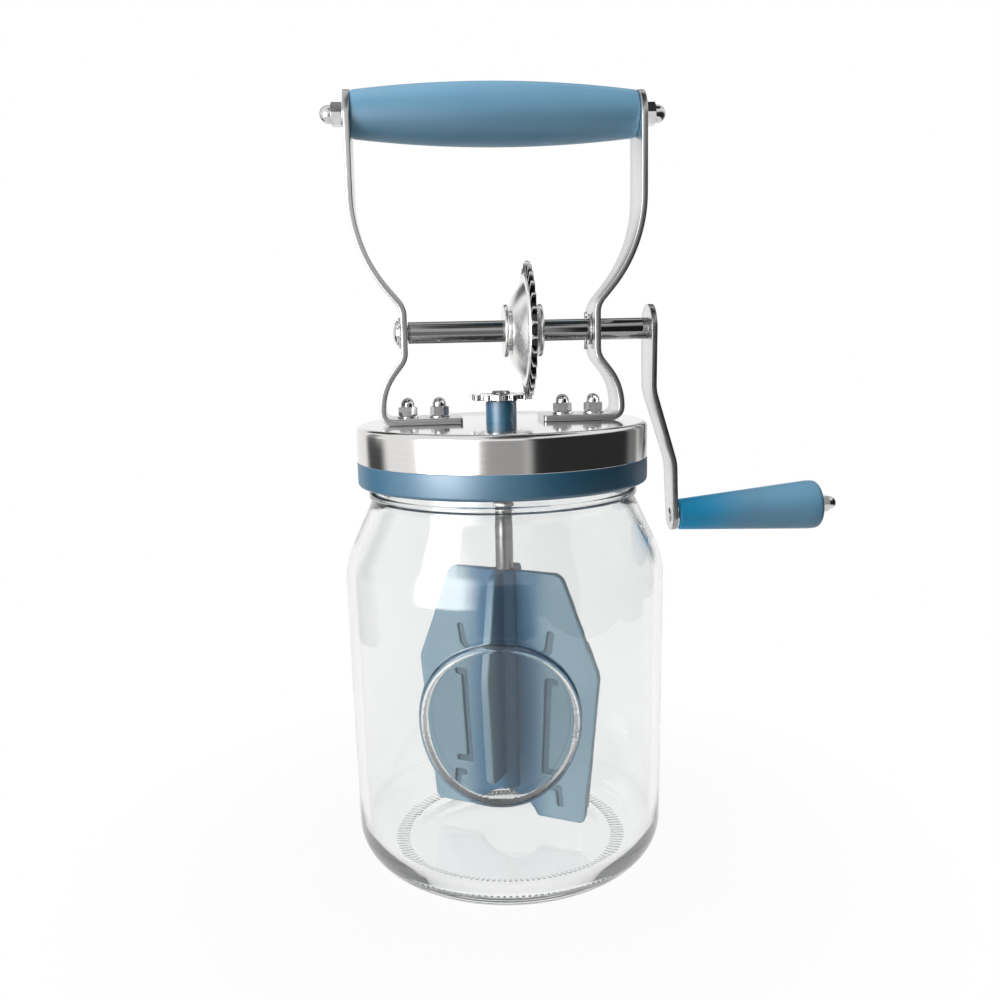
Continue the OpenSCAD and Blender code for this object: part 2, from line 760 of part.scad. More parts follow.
module grip_washers() {
    start = top_x + strap_t;
    color(steel) for (s = [0, 1]) mirror([s, 0, 0]) on_grip() translate([0, 0, start])
        ring(rod_washer_d, rod_d + 2 * fix_gap, washer_t);
}

module grip_nuts() {
    start = top_x + strap_t + washer_t;
    color(bright) for (s = [0, 1]) mirror([s, 0, 0]) on_grip() translate([0, 0, start])
        cap_nut(rod_nut_af, rod_nut_hex_h, rod_nut_depth, rod_d);
}

module crank_axle() {
    journal_end = axle_cap_x + axle_cap_h - axle_cap_wall - fix_gap;
    arm_out = arm_x + arm_t;
    color(steel) difference() {
        on_axle() {
            translate([0, 0, -shoulder_x]) cylinder(r = axle_r, h = shoulder_x + arm_x);
            translate([0, 0, -journal_end]) cylinder(d = journal_d, h = journal_end);
            flatted(tenon_d, tenon_flat, arm_out + sink);
            translate([0, 0, arm_out]) cylinder(d1 = peen_d, d2 = peen_d * 0.7, h = peen_h);
        }
        translate([split_x, 0, axle_z])
            cylinder(d = split_d + 2 * fix_gap, h = axle_d + over, center = true);
    }
}

module axle_cap() {
    edge = journal_d / 2 + axle_cap_rim;
    rim_h = axle_cap_h * 0.3;
    rise = axle_cap_h - rim_h;
    dome_r = (edge * edge + rise * rise) / (2 * rise);
    color(bright) mirror([1, 0, 0]) on_axle() translate([0, 0, axle_cap_x]) difference() {
        intersection() {
            cylinder(r = edge, h = axle_cap_h);
            translate([0, 0, axle_cap_h - dome_r]) sphere(r = dome_r);
        }
        translate([0, 0, -over])
            cylinder(d = journal_d + 2 * fix_gap, h = axle_cap_h - axle_cap_wall + over);
    }
}

module cap_washer() {
    color(steel) mirror([1, 0, 0]) on_axle() translate([0, 0, cap_washer_x])
        ring(axle_washer_d, journal_d + 2 * fix_gap, washer_t);
}

module thrust_washer() {
    color(steel) on_axle() translate([0, 0, thrust_x]) ring(axle_washer_d, axle_d + 2 * fix_gap, washer_t);
}

module split_pin() {
    wire_r = split_d * 0.4;
    eye_r = split_d * 0.62;
    spread = 24;
    color(bright) translate([split_x, 0, axle_z]) {
        translate([0, 0, -axle_r - sink]) cylinder(d = split_d, h = axle_d + 2 * sink);
        translate([0, 0, axle_r + eye_r + wire_r]) rotate([0, 90, 0]) rotate_extrude()
            translate([eye_r, 0]) circle(r = wire_r);
        for (s = [-1, 1]) translate([0, 0, -axle_r]) rotate([s * spread, 0, 0])
            translate([0, 0, -split_leg]) cylinder(r = wire_r, h = split_leg);
    }
}

module gear_hub() {
    step_d = hub_d + (flange_d - hub_d) * 0.35;
    hub_len = hub_right_x - hub_left_x + 2 * flange_t;
    color(bright) on_axle() translate([0, 0, hub_left_x - flange_t]) difference() {
        union() {
            cylinder(d = flange_d, h = flange_t);
            cylinder(d = step_d, h = flange_t + hub_step);
            cylinder(d = hub_d, h = hub_len);
        }
        translate([0, 0, -over]) cylinder(d = axle_d + 2 * fix_gap, h = hub_len + 2 * over);
    }
}

module hub_flange() {
    color(bright) on_axle() translate([0, 0, hub_right_x]) ring(flange_d, hub_d + 2 * fix_gap, flange_t);
}

module drive_gear() {
    tip_r = drive_r + tooth_out;
    root_r = drive_r - tooth_in;
    half = rim_t / 2;
    tip_half = half * 0.6;
    low = web_x - rim_x;
    bore_r = hub_d / 2 + fix_gap;
    bead_r = dish_r + rim_bead_w;
    color(bright) on_axle() translate([0, 0, rim_x]) {
        intersection() {
            translate([0, 0, -half]) linear_extrude(rim_t)
                toothed_disc(drive_teeth, drive_r, drive_root_w, drive_tip_w, 0);
            rotate_extrude() polygon([
                [dish_r, -half], [root_r, -half], [tip_r + sink, -tip_half],
                [tip_r + sink, tip_half], [root_r, half], [dish_r, half]
            ]);
        }
        rotate_extrude() polygon([
            [bore_r, low - dish_t / 2], [web_r, low - dish_t / 2], [dish_r, -half - rim_bead_h],
            [bead_r, -half - rim_bead_h], [bead_r, 0], [dish_r - dish_t, 0],
            [web_r - dish_t, low + dish_t / 2], [bore_r, low + dish_t / 2]
        ]);
    }
}

module crank_arm() {
    runs = [
        [arm_end_up + arm_straight, arm_bend, arm_lean],
        [arm_run, arm_bend, -arm_back_lean]
    ];
    path = strip_path(runs, arm_tail, [arm_mid, axle_z + arm_end_up], -90);
    low_z = pivot_z - arm_tip;
    high_r = arm_w / 2;
    low_r = arm_tip_w / 2;
    deep = arm_offset + 4 * over + 2 * arm_t;
    color(steel) difference() {
        intersection() {
            rotate([90, 0, 0]) linear_extrude(arm_w + over, center = true)
                polygon(strip_outline(path, arm_t));
            translate([arm_mid - arm_t - over, 0, 0]) rotate([90, 0, 90]) linear_extrude(deep) {
                translate([0, axle_z]) circle(r = high_r);
                translate([0, low_z + low_r]) circle(r = low_r);
                polygon([
                    [-high_r, axle_z], [-low_r, low_z + low_r], [low_r, low_z + low_r], [high_r, axle_z]
                ]);
            }
        }
        on_axle() translate([0, 0, arm_x - over])
            flatted(tenon_d + 2 * fix_gap, tenon_flat + 2 * fix_gap, arm_t + 2 * over);
        on_knob() cylinder(d = knob_pin_d + 2 * fix_gap, h = arm_t + 2 * over, center = true);
    }
}

module knob_spindle() {
    thread_end = knob_nut_x + nut_depth - fix_gap;
    color(steel) on_knob() {
        translate([0, 0, -arm_t / 2 - rivet_h]) cylinder(d1 = rivet_d * 0.7, d2 = rivet_d, h = rivet_h);
        translate([0, 0, -arm_t / 2 - sink]) cylinder(d = knob_pin_d, h = knob_washer_x + arm_t / 2 + sink);
        cylinder(d = bolt_d, h = thread_end);
    }
}

module knob_spacer() {
    color(steel) on_knob() translate([0, 0, spacer_x])
        ring(spacer_d, knob_pin_d + 2 * fix_gap, washer_t);
}

module crank_knob() {
    bore_r = knob_pin_d / 2 + run_gap;
    neck = knob_neck_d / 2;
    big = knob_d / 2;
    edge = 0.8;
    color(blue) on_knob() translate([0, 0, knob_x]) rotate_extrude() polygon(concat(
        [[bore_r, 0], [neck - edge, 0], [neck, edge]],
        arc([big - knob_round, knob_len - knob_round], knob_round, 0, 90),
        [[bore_r, knob_len]]
    ));
}

module knob_washer() {
    color(steel) on_knob() translate([0, 0, knob_washer_x]) ring(washer_d, bolt_d + 2 * fix_gap, washer_t);
}

module knob_nut() {
    color(bright) on_knob() translate([0, 0, knob_nut_x]) cap_nut(nut_af, nut_hex_h, nut_depth, bolt_d);
}

module pinion() {
    hole = spindle_end_d + 2 * fix_gap;
    color(bright) translate([0, 0, pinion_z]) linear_extrude(pinion_t) difference() {
        toothed_disc(pinion_teeth, pinion_r, pinion_root_w, pinion_tip_w, 0.5);
        intersection() {
            circle(d = hole);
            square([spindle_flat + 2 * fix_gap, hole + over], center = true);
        }
    }
}

module spindle() {
    body_low = stem_top + lock_nut_h;
    color(steel) {
        translate([0, 0, body_low]) cylinder(r = spindle_r, h = pinion_z - body_low);
        translate([0, 0, pinion_z - sink]) flatted(spindle_end_d, spindle_flat, pinion_t + 2 * sink);
        translate([0, 0, pinion_top]) cylinder(d1 = head_d, d2 = head_d * 0.8, h = head_h);
        translate([0, 0, spindle_low]) cylinder(d = spindle_end_d, h = body_low + sink - spindle_low);
    }
}

module spindle_clip() {
    gap_w = spindle_d * 0.62;
    color(steel) translate([0, 0, clip_z]) difference() {
        ring(clip_d, spindle_d + 2 * fix_gap, clip_t);
        translate([-gap_w / 2, 0, -over]) cube([gap_w, clip_d, clip_t + 2 * over]);
    }
}

module lock_nut() {
    color(steel) translate([0, 0, stem_top]) difference() {
        hexagon(lock_nut_af, lock_nut_h);
        translate([0, 0, -over]) cylinder(d = spindle_end_d + 2 * fix_gap, h = lock_nut_h + 2 * over);
    }
}

module paddle_stem() {
    color(steel) difference() {
        translate([0, 0, stem_low]) cylinder(d = stem_d, h = stem_top - stem_low);
        translate([0, 0, stem_top - stem_bore_h])
            cylinder(d = spindle_end_d + 2 * fix_gap, h = stem_bore_h + over);
    }
}

// Direction from one point to the next, with length 1
function heading(p, q) = (q - p) / norm(q - p);

// Sideways direction at a point of a chain, lengthened where the chain turns
function sideways(points, i) =
    let (
        last = len(points) - 1,
        before = heading(points[max(i, 1) - 1], points[max(i, 1)]),
        after = heading(points[min(i, last - 1)], points[min(i, last - 1) + 1]),
        mid = heading([0, 0], before + after)
    )
    [-mid[1], mid[0]] / (mid * before);

// Narrow slot of even width along a chain of points
module slot_chain(points) {
    half = slot_w / 2;
    polygon(concat(
        [for (i = [0:len(points) - 1]) points[i] + half * sideways(points, i)],
        [for (i = [len(points) - 1:-1:0]) points[i] - half * sideways(points, i)]
    ));
}

// Slots of one blade, measured from the blade's foot
module blade_slots() {
    apart = slot_hook + 2 * slot_w;
    out = slot_r + slot_hook;
    high = slot_low + slot_len;
    slot_chain([[out, high], [slot_r, high], [slot_r - slot_hook / 2, slot_low], [out, slot_low]]);
    slot_chain([
        [slot_r - slot_hook, high + apart], [slot_r, high + apart + slot_hook],
        [slot_r + slot_w / 2, high + apart + slot_hook + slot_short]
    ]);
    slot_chain([
        [slot_r, slot_low - apart + slot_w], [out, slot_low - apart + slot_w],
        [out + slot_w / 4, slot_low - apart + slot_w - slot_short]
    ]);
}

// The plate of the two wide blades
module blade_plate() {
    rotate([90, 0, 0]) difference() {
        linear_extrude(blade_t, center = true) difference() {
            polygon([
                [-blade_top_r, blade_h], [-blade_r, blade_wide_h], [-blade_foot_r, 0],
                [blade_foot_r, 0], [blade_r, blade_wide_h], [blade_top_r, blade_h]
            ]);
            translate([0, arch_h - arch_r]) circle(r = arch_r);
        }
        for (side = [0, 1], end = [0, 1]) mirror([end, 0, 0]) mirror([0, 0, side])
            translate([0, 0, slot_web / 2]) linear_extrude(blade_t) blade_slots();
    }
}

// The narrower plate that crosses it
module cross_plate() {
    rotate([90, 0, 0]) linear_extrude(blade_t, center = true) polygon([
        [-blade_top_r * cross_share, blade_h], [-blade_r * cross_share, blade_wide_h],
        [-blade_foot_r * cross_share, cross_low], [blade_foot_r * cross_share, cross_low],
        [blade_r * cross_share, blade_wide_h], [blade_top_r * cross_share, blade_h]
    ]);
}

module paddle() {
    color(blue) translate([0, 0, blade_foot_z]) rotate([0, 0, paddle_turn]) difference() {
        union() {
            blade_plate();
            rotate([0, 0, 90]) cross_plate();
            translate([0, 0, paddle_hub_low]) cylinder(d = paddle_hub_d, h = blade_h - paddle_hub_low);
        }
        translate([0, 0, blade_h - stem_grip]) cylinder(d = stem_d + 2 * fix_gap, h = stem_grip + over);
    }
}

glass_jar();
lid_seal();
lid_collar();
lid_cap();
spindle_bush();
left_bracket();
right_bracket();
foot_bolts();
foot_washers();
foot_nuts();
grip_rod();
handle_grip();
grip_washers();
grip_nuts();
crank_axle();
axle_cap();
cap_washer();
thrust_washer();
split_pin();
gear_hub();
hub_flange();
drive_gear();
crank_arm();
knob_spindle();
knob_spacer();
crank_knob();
knob_washer();
knob_nut();
pinion();
spindle();
spindle_clip();
lock_nut();
paddle_stem();
paddle();
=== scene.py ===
import bpy
import bmesh
from math import asin, atan2, copysign, cos, degrees, hypot, pi, radians, sin, sqrt, tan
from mathutils import Matrix, Vector


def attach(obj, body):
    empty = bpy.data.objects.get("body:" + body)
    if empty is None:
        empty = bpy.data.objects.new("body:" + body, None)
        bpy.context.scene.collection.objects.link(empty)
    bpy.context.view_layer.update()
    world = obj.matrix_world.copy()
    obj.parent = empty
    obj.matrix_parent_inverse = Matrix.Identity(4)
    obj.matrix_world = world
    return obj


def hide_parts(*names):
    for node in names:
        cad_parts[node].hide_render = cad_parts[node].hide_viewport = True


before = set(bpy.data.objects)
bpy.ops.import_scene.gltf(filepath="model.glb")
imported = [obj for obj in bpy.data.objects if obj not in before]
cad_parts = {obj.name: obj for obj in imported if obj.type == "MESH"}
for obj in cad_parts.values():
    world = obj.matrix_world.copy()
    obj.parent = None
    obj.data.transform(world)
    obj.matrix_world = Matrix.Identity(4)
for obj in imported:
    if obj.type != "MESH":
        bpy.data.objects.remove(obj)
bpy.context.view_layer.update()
scene = bpy.context.scene
mm = 0.001
nearAxis = 1e-6  # a smaller radius is a pole

fit = {  # heights and radii that several pieces share, in millimetres, as in the part's source
    "jarTop": 149.42, "plateZ": 151.42, "capUnder": 153.42, "lidTop": 154.22, "skirtZ": 142.12, "bandZ": 133.92,
    "lidR": 49.9, "collarBore": 47.0, "neckR": 44.4, "bushR": 5.3, "bushLow": 146.42, "bushTop": 161.52,
    "pinionZ": 161.72, "pinionTop": 163.62, "axleZ": 184.875, "gripZ": 255.275, "rimX": 9.621, "webX": 4.221,
    "stemTop": 121.9, "stemLow": 61.4, "paddleFoot": 11.7, "waistX": 31.3, "strapT": 2.1, "topX": 47.2,
    "pivot": (60.366, 0, 119.075), "knobTilt": 2.2, "paddleTurn": -29, "lugs": 4, "lugZ": 144.42,
    "axleR": 3.65, "washerT": 0.6, "play": 0.2, "slip": 0.04,  # play lies along an axis, slip round it
}


def up(z):
    return Matrix.Translation((0, 0, z))


def turned(angle, axis):
    return Matrix.Rotation(radians(angle), 4, axis)


unmoved = Matrix.Identity(4)
onAxle = up(fit["axleZ"]) @ turned(90, "Y")
onGrip = up(fit["gripZ"]) @ turned(90, "Y")
onKnob = Matrix.Translation(fit["pivot"]) @ turned(90 - fit["knobTilt"], "Y")
turnLeft = turned(180, "Z")


def arcPoints(cx, cy, r, fromDeg, toDeg, steps):  # shapes are in millimetres, finishPiece scales them
    out = []
    for k in range(steps + 1):
        a = radians(fromDeg + (toDeg - fromDeg) * k / steps)
        out.append((cx + r * cos(a), cy + r * sin(a)))
    return out


def inBetween(start, end, steps):  # points that divide a straight line, without its ends
    return [tuple(a + (b - a) * k / steps for a, b in zip(start, end)) for k in range(1, steps)]


def rounded(points, steps=5, closed=True):  # each point is (x, y) or (x, y, corner radius)
    most = 0.49  # the share of a side that one corner may take
    out = []
    count = len(points)
    for i, p in enumerate(points):
        radius = p[2] if len(p) > 2 else 0
        if radius <= 0 or (not closed and i in (0, count - 1)):
            out.append((p[0], p[1]))
            continue
        corner = Vector(p[:2])
        before = Vector(points[i - 1][:2]) - corner
        after = Vector(points[(i + 1) % count][:2]) - corner
        half = before.angle(after) / 2
        reach = min(radius / tan(half), most * before.length, most * after.length)
        radius = reach * tan(half)
        before.normalize()
        after.normalize()
        centre = corner + (before + after).normalized() * (radius / sin(half))
        start = corner + before * reach - centre
        end = corner + after * reach - centre
        a0 = atan2(start.y, start.x)
        turn = (atan2(end.y, end.x) - a0 + pi) % (2 * pi) - pi
        for k in range(steps + 1):
            a = a0 + turn * k / steps
            out.append((centre.x + radius * cos(a), centre.y + radius * sin(a)))
    return out


def joinRows(bm, rows, around=False, capped=False):  # sides between rows of points, where a pole is one point repeated
    faces = []
    for low, high in zip(rows, rows[1:] + rows[:1] if around else rows[1:]):
        for j in range(len(low)):
            k = (j + 1) % len(low)
            corners = list(dict.fromkeys((low[j], low[k], high[k], high[j])))
            if len(corners) > 2:
                faces.append(bm.faces.new(corners))
    if capped:
        bm.faces.new(rows[0])
        bm.faces.new(rows[-1])
    return faces


def ringRow(bm, columns, r, z):
    if r < nearAxis:
        return [bm.verts.new((0, 0, z))] * columns
    angles = [2 * pi * j / columns for j in range(columns)]
    return [bm.verts.new((r * cos(a), r * sin(a), z)) for a in angles]


def latheMesh(bm, profile, segments, closed=True):
    joinRows(bm, [ringRow(bm, segments, r, z) for r, z in profile], around=closed)


def meshFrom(bm, name):
    bmesh.ops.recalc_face_normals(bm, faces=bm.faces)
    mesh = bpy.data.meshes.new(name)
    bm.to_mesh(mesh)
    bm.free()
    return mesh


def latheSolid(name, corners, steps, segments, closed=True):
    bm = bmesh.new()
    latheMesh(bm, rounded(corners, steps, closed), segments, closed)
    return meshFrom(bm, name)


def scratchObject(name, data):
    obj = bpy.data.objects.new(name, data)
    scene.collection.objects.link(obj)
    return obj


def plainMesh(obj, name):  # what the object's modifiers make, as a mesh of its own
    graph = bpy.context.evaluated_depsgraph_get()
    graph.update()
    mesh = bpy.data.meshes.new_from_object(obj.evaluated_get(graph), depsgraph=graph)
    mesh.name = name
    return mesh


def finishPiece(name, mesh, finish, body, node, place=unmoved, sharp=32):
    mesh.transform(place)
    mesh.transform(Matrix.Scale(mm, 4))
    mesh.materials.clear()
    mesh.materials.append(finish)
    for poly in mesh.polygons:
        poly.material_index = 0
    mesh.shade_smooth()
    mesh.set_sharp_from_angle(angle=radians(sharp))
    obj = scratchObject(name, mesh)
    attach(obj, body)
    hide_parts(node)


def lathePiece(name, corners, steps, finish, body, node, place=unmoved, segments=96, closed=True):
    finishPiece(name, latheSolid(name, corners, steps, segments, closed), finish, body, node, place)


def put(tree, kind, sockets=None, **settings):  # a node; a socket takes a value, a node, an output or a list of these
    node = tree.nodes.new(kind)
    for label, value in settings.items():
        setattr(node, label, value)
    for label, value in (sockets or {}).items():
        socket = node.inputs[label]
        for one in value if isinstance(value, list) else [value]:
            if isinstance(one, bpy.types.Node):
                one = next(o for o in one.outputs if o.enabled)
            if isinstance(one, bpy.types.NodeSocket):
                tree.links.new(one, socket)
            else:
                socket.default_value = (*one, 1) if socket.type == "RGBA" else one
    return node


def mathNode(tree, operation, *values):
    return put(tree, "ShaderNodeMath", dict(enumerate(values)), operation=operation)


def vectorNode(tree, operation, *values):
    return put(tree, "ShaderNodeVectorMath", dict(enumerate(values)), operation=operation)


def mapRange(tree, value, low, high, toLow, toHigh, kind="LINEAR"):
    return put(tree, "ShaderNodeMapRange", {
        "Value": value, "From Min": low, "From Max": high, "To Min": toLow, "To Max": toHigh}, interpolation_type=kind)


def newTree(name, kind, inputs, output):
    tree = bpy.data.node_groups.new(name, kind)
    tree.interface.new_socket(output[0], in_out="OUTPUT", socket_type="NodeSocket" + output[1])
    for label, socketKind, value in inputs:
        socket = tree.interface.new_socket(label, in_out="INPUT", socket_type="NodeSocket" + socketKind)
        if value is not None:
            socket.default_value = value
    return tree, put(tree, "NodeGroupInput").outputs


def endTree(tree, ins, parts):  # joins the parts, makes the copies real and sets the finish
    both = put(tree, "GeometryNodeJoinGeometry", {"Geometry": parts})
    real = put(tree, "GeometryNodeRealizeInstances", {"Geometry": both})
    finish = put(tree, "GeometryNodeSetMaterial", {"Geometry": real, "Material": ins["Finish"]})
    put(tree, "NodeGroupOutput", {"Geometry": finish})
    return tree


def rowTree():  # a row of copies along X, and the same row turned to the other side
    tree, ins = newTree("rowOnBothSides", "GeometryNodeTree", [
        ("Geometry", "Geometry", None), ("Count", "Int", 2), ("Pitch", "Float", 10.0), ("Finish", "Material", None)],
        ("Geometry", "Geometry"))
    offset = put(tree, "ShaderNodeCombineXYZ", {"X": ins["Pitch"]})
    line = put(tree, "GeometryNodeMeshLine", {"Count": ins["Count"], "Offset": offset})
    copies = put(tree, "GeometryNodeInstanceOnPoints", {"Points": line, "Instance": ins["Geometry"]})
    across = put(tree, "GeometryNodeTransform", {"Geometry": copies, "Rotation": (0, 0, pi)})
    return endTree(tree, ins, [copies, across])


def roundTree():  # copies turned about Z, joined to a core piece
    tree, ins = newTree("copiesAroundCore", "GeometryNodeTree", [
        ("Geometry", "Geometry", None), ("Core", "Object", None), ("Count", "Int", 12), ("Phase", "Float", 0.0),
        ("Finish", "Material", None)], ("Geometry", "Geometry"))
    line = put(tree, "GeometryNodeMeshLine", {"Count": ins["Count"], "Offset": (0, 0, 0)})
    shifted = mathNode(tree, "ADD", put(tree, "GeometryNodeInputIndex"), ins["Phase"])
    angle = mathNode(tree, "MULTIPLY", mathNode(tree, "DIVIDE", shifted, ins["Count"]), 2 * pi)
    euler = put(tree, "ShaderNodeCombineXYZ", {"Z": angle})
    turn = put(tree, "FunctionNodeEulerToRotation", {"Euler": euler})
    copies = put(tree, "GeometryNodeInstanceOnPoints", {
        "Points": line, "Instance": ins["Geometry"], "Rotation": turn})
    core = put(tree, "GeometryNodeObjectInfo", {"Object": ins["Core"]})
    return endTree(tree, ins, [copies, core.outputs["Geometry"]])


def throughTree(tree, name, mesh, values):  # runs one tree on a mesh and gives back the plain result
    obj = scratchObject(name + ".base", mesh)
    modifier = obj.modifiers.new(tree.name, "NODES")
    modifier.node_group = tree
    sockets = {s.name: s.identifier for s in tree.interface.items_tree if s.in_out == "INPUT"}
    for label, value in values.items():
        modifier[sockets[label]] = value
    result = plainMesh(obj, name)
    obj.modifiers.clear()
    bpy.data.objects.remove(obj)
    return result


bothSides = rowTree()
aroundCore = roundTree()


def setAround(name, mesh, core, count, finish, phase=0.0):  # copies of a mesh around a core mesh
    coreObject = scratchObject(name + ".core", core)
    made = throughTree(aroundCore, name, mesh, {"Core": coreObject, "Count": count, "Phase": phase, "Finish": finish})
    bpy.data.objects.remove(coreObject)
    return made


print("stage: trees ready")


texture = {  # spans hold most of a noise's values, depths are in metres
    "cloudSpan": (0.3, 0.7), "streakSpan": (0.25, 0.75), "cellShare": 0.6,
    "streakDepth": 0.00004, "mouldDepth": 0.00005, "waveDepth": 0.0004,
}


def fromAxis(tree, vector):  # distance from the Z axis
    return vectorNode(tree, "LENGTH", vectorNode(tree, "MULTIPLY", vector, (1, 1, 0)))


def streakGroup():  # fine lines left by a brush or a lathe tool, along the axes with a small stretch
    group, ins = newTree("brushStreaks", "ShaderNodeTree", [
        ("Vector", "Vector", None), ("Stretch", "Vector", (1, 1, 1)), ("Turned", "Float", 0.0)], ("Streak", "Float"))
    split = put(group, "ShaderNodeSeparateXYZ", {"Vector": ins["Vector"]})
    radial = mathNode(group, "MULTIPLY", fromAxis(group, ins["Vector"]), ins["Turned"])
    height = mathNode(group, "ADD", split.outputs["Z"], radial)
    joined = put(group, "ShaderNodeCombineXYZ", {"X": split.outputs["X"], "Y": split.outputs["Y"], "Z": height})
    noise = put(group, "ShaderNodeTexNoise", {
        "Vector": vectorNode(group, "MULTIPLY", joined, ins["Stretch"]), "Scale": 1.0, "Detail": 4.0,
        "Roughness": 0.65})
    put(group, "NodeGroupOutput", {"Streak": noise})
    return group


def cloudGroup():  # slow changes over a surface: handling marks on metal, uneven tone in plastic
    group, ins = newTree("slowClouds", "ShaderNodeTree", [
        ("Vector", "Vector", None), ("Scale", "Float", 60.0), ("Seed", "Float", 0.0)], ("Cloud", "Float"))
    noise = put(group, "ShaderNodeTexNoise", {
        "Vector": ins["Vector"], "Scale": ins["Scale"], "W": ins["Seed"], "Detail": 5.0, "Roughness": 0.55},
        noise_dimensions="4D")
    put(group, "NodeGroupOutput", {"Cloud": mapRange(group, noise, *texture["cloudSpan"], 0.0, 1.0)})
    return group


def grainGroup():  # the fine spark texture of a mould, with a few larger specks
    group, ins = newTree("mouldGrain", "ShaderNodeTree", [
        ("Vector", "Vector", None), ("Scale", "Float", 2600.0)], ("Grain", "Float"))
    cells = put(group, "ShaderNodeTexVoronoi", {"Vector": ins["Vector"], "Scale": ins["Scale"]})
    noise = put(group, "ShaderNodeTexNoise", {"Vector": ins["Vector"], "Scale": ins["Scale"], "Detail": 3.0})
    put(group, "NodeGroupOutput", {"Grain": mathNode(group, "MULTIPLY_ADD", cells, texture["cellShare"], noise)})
    return group


streaks = streakGroup()
clouds = cloudGroup()
grain = grainGroup()


def newMaterial(name):
    material = bpy.data.materials.new(name)
    material.use_nodes = True
    material.node_tree.nodes.clear()
    return material, material.node_tree, put(material.node_tree, "ShaderNodeTexCoord").outputs["Object"]


def surface(tree, shader):
    put(tree, "ShaderNodeOutputMaterial", {"Surface": shader})


def mixShader(tree, share, first, second):
    return put(tree, "ShaderNodeMixShader", {"Fac": share, 1: first, 2: second})


def cloudNode(tree, vector, scale, seed=0.0):
    return put(tree, "ShaderNodeGroup", {"Vector": vector, "Scale": scale, "Seed": seed}, node_tree=clouds)


def bumpNode(tree, height, strength, distance):
    return put(tree, "ShaderNodeBump", {"Height": height, "Strength": strength, "Distance": distance})


def toneMix(tree, factor, first, second):
    return put(tree, "ShaderNodeMix", {"Factor": factor, "A": first, "B": second}, data_type="RGBA")


def marked(tree, name):  # a mark that the mesh carries on its faces or points
    return put(tree, "ShaderNodeAttribute", attribute_name=name).outputs["Fac"]


def metalFinish(name, look):
    material, tree, here = newMaterial(name)
    place = put(tree, "ShaderNodeMapping", {
        "Vector": here, "Location": look.get("centre", (0, 0, 0)), "Rotation": look.get("turn", (0, 0, 0))},
        vector_type="TEXTURE")
    streak = put(tree, "ShaderNodeGroup", {
        "Vector": place, "Stretch": look["stretch"], "Turned": look.get("turned", 0.0)}, node_tree=streaks)
    cloud = cloudNode(tree, here, look["cloudScale"], look["seed"])
    tone = toneMix(tree, streak, look["dark"], look["light"])
    if "roots" in look:  # painted shade between the teeth, from one radius out to the other
        away = fromAxis(tree, place)
        inner, outer = look["roots"]
        inside = mapRange(tree, away, inner, inner + look["rootFade"], 0.0, 1.0)
        belowTips = mapRange(tree, away, outer, outer + look["outerFade"], 1.0, 0.0)
        tone = toneMix(tree, mathNode(tree, "MULTIPLY", inside, belowTips), tone, look["rootShade"])
    if "cut" in look:  # painted shade on the narrow sides of a strip
        tone = toneMix(tree, marked(tree, "cut"), tone, look["cut"])
    streakRough = mapRange(tree, streak, *texture["streakSpan"], *look["rough"])
    surface(tree, put(tree, "ShaderNodeBsdfPrincipled", {
        "Base Color": tone, "Metallic": 1.0, "Normal": bumpNode(tree, streak, look["bump"], texture["streakDepth"]),
        "Roughness": mathNode(tree, "MULTIPLY_ADD", cloud, look["smudge"], streakRough)}))
    return material


def plasticFinish(name, look):
    material, tree, here = newMaterial(name)
    cloud = cloudNode(tree, here, look["cloudScale"], look["seed"])
    mould = put(tree, "ShaderNodeGroup", {"Vector": here, "Scale": look["grainScale"]}, node_tree=grain)
    tone = toneMix(tree, cloud, look["dark"], look["light"])
    if "recess" in look:  # painted shade on faces that lie deep in a moulded slot
        tone = toneMix(tree, marked(tree, "recess"), tone, look["recess"])
    if "core" in look:  # painted shade: the part nearest the Z axis turns a deeper blue
        near = mapRange(tree, fromAxis(tree, here), *look["coreShadeReach"], 1.0, 0.0, "SMOOTHSTEP")
        tone = toneMix(tree, near, tone, look["core"])
    surface(tree, put(tree, "ShaderNodeBsdfPrincipled", {
        "Base Color": tone, "Roughness": mapRange(tree, cloud, 0.0, 1.0, *look["rough"]), "IOR": look["ior"],
        "Normal": bumpNode(tree, mould, look["bump"], texture["mouldDepth"])}))
    return material


def glassFinish(name, look):
    material, tree, here = newMaterial(name)
    wave = cloudNode(tree, here, look["waveScale"])
    tone = toneMix(tree, wave, look["dark"], look["light"])
    glass = put(tree, "ShaderNodeBsdfPrincipled", {
        "Base Color": toneMix(tree, marked(tree, "shade"), tone, look["shade"]), "Roughness": look["rough"],
        "IOR": look["ior"], "Transmission Weight": 1.0,
        "Normal": bumpNode(tree, wave, look["bump"], texture["waveDepth"])})
    through = put(tree, "ShaderNodeBsdfTransparent", {"Color": look["through"]})
    path = put(tree, "ShaderNodeLightPath").outputs
    many = mathNode(tree, "GREATER_THAN", path["Glossy Depth"], look["turns"])  # turned often in the thick heel
    leaving = mathNode(tree, "MULTIPLY_ADD", many, look["escape"], path["Is Shadow Ray"])  # and shadows pass
    surface(tree, mixShader(tree, leaving, glass, through))
    return material


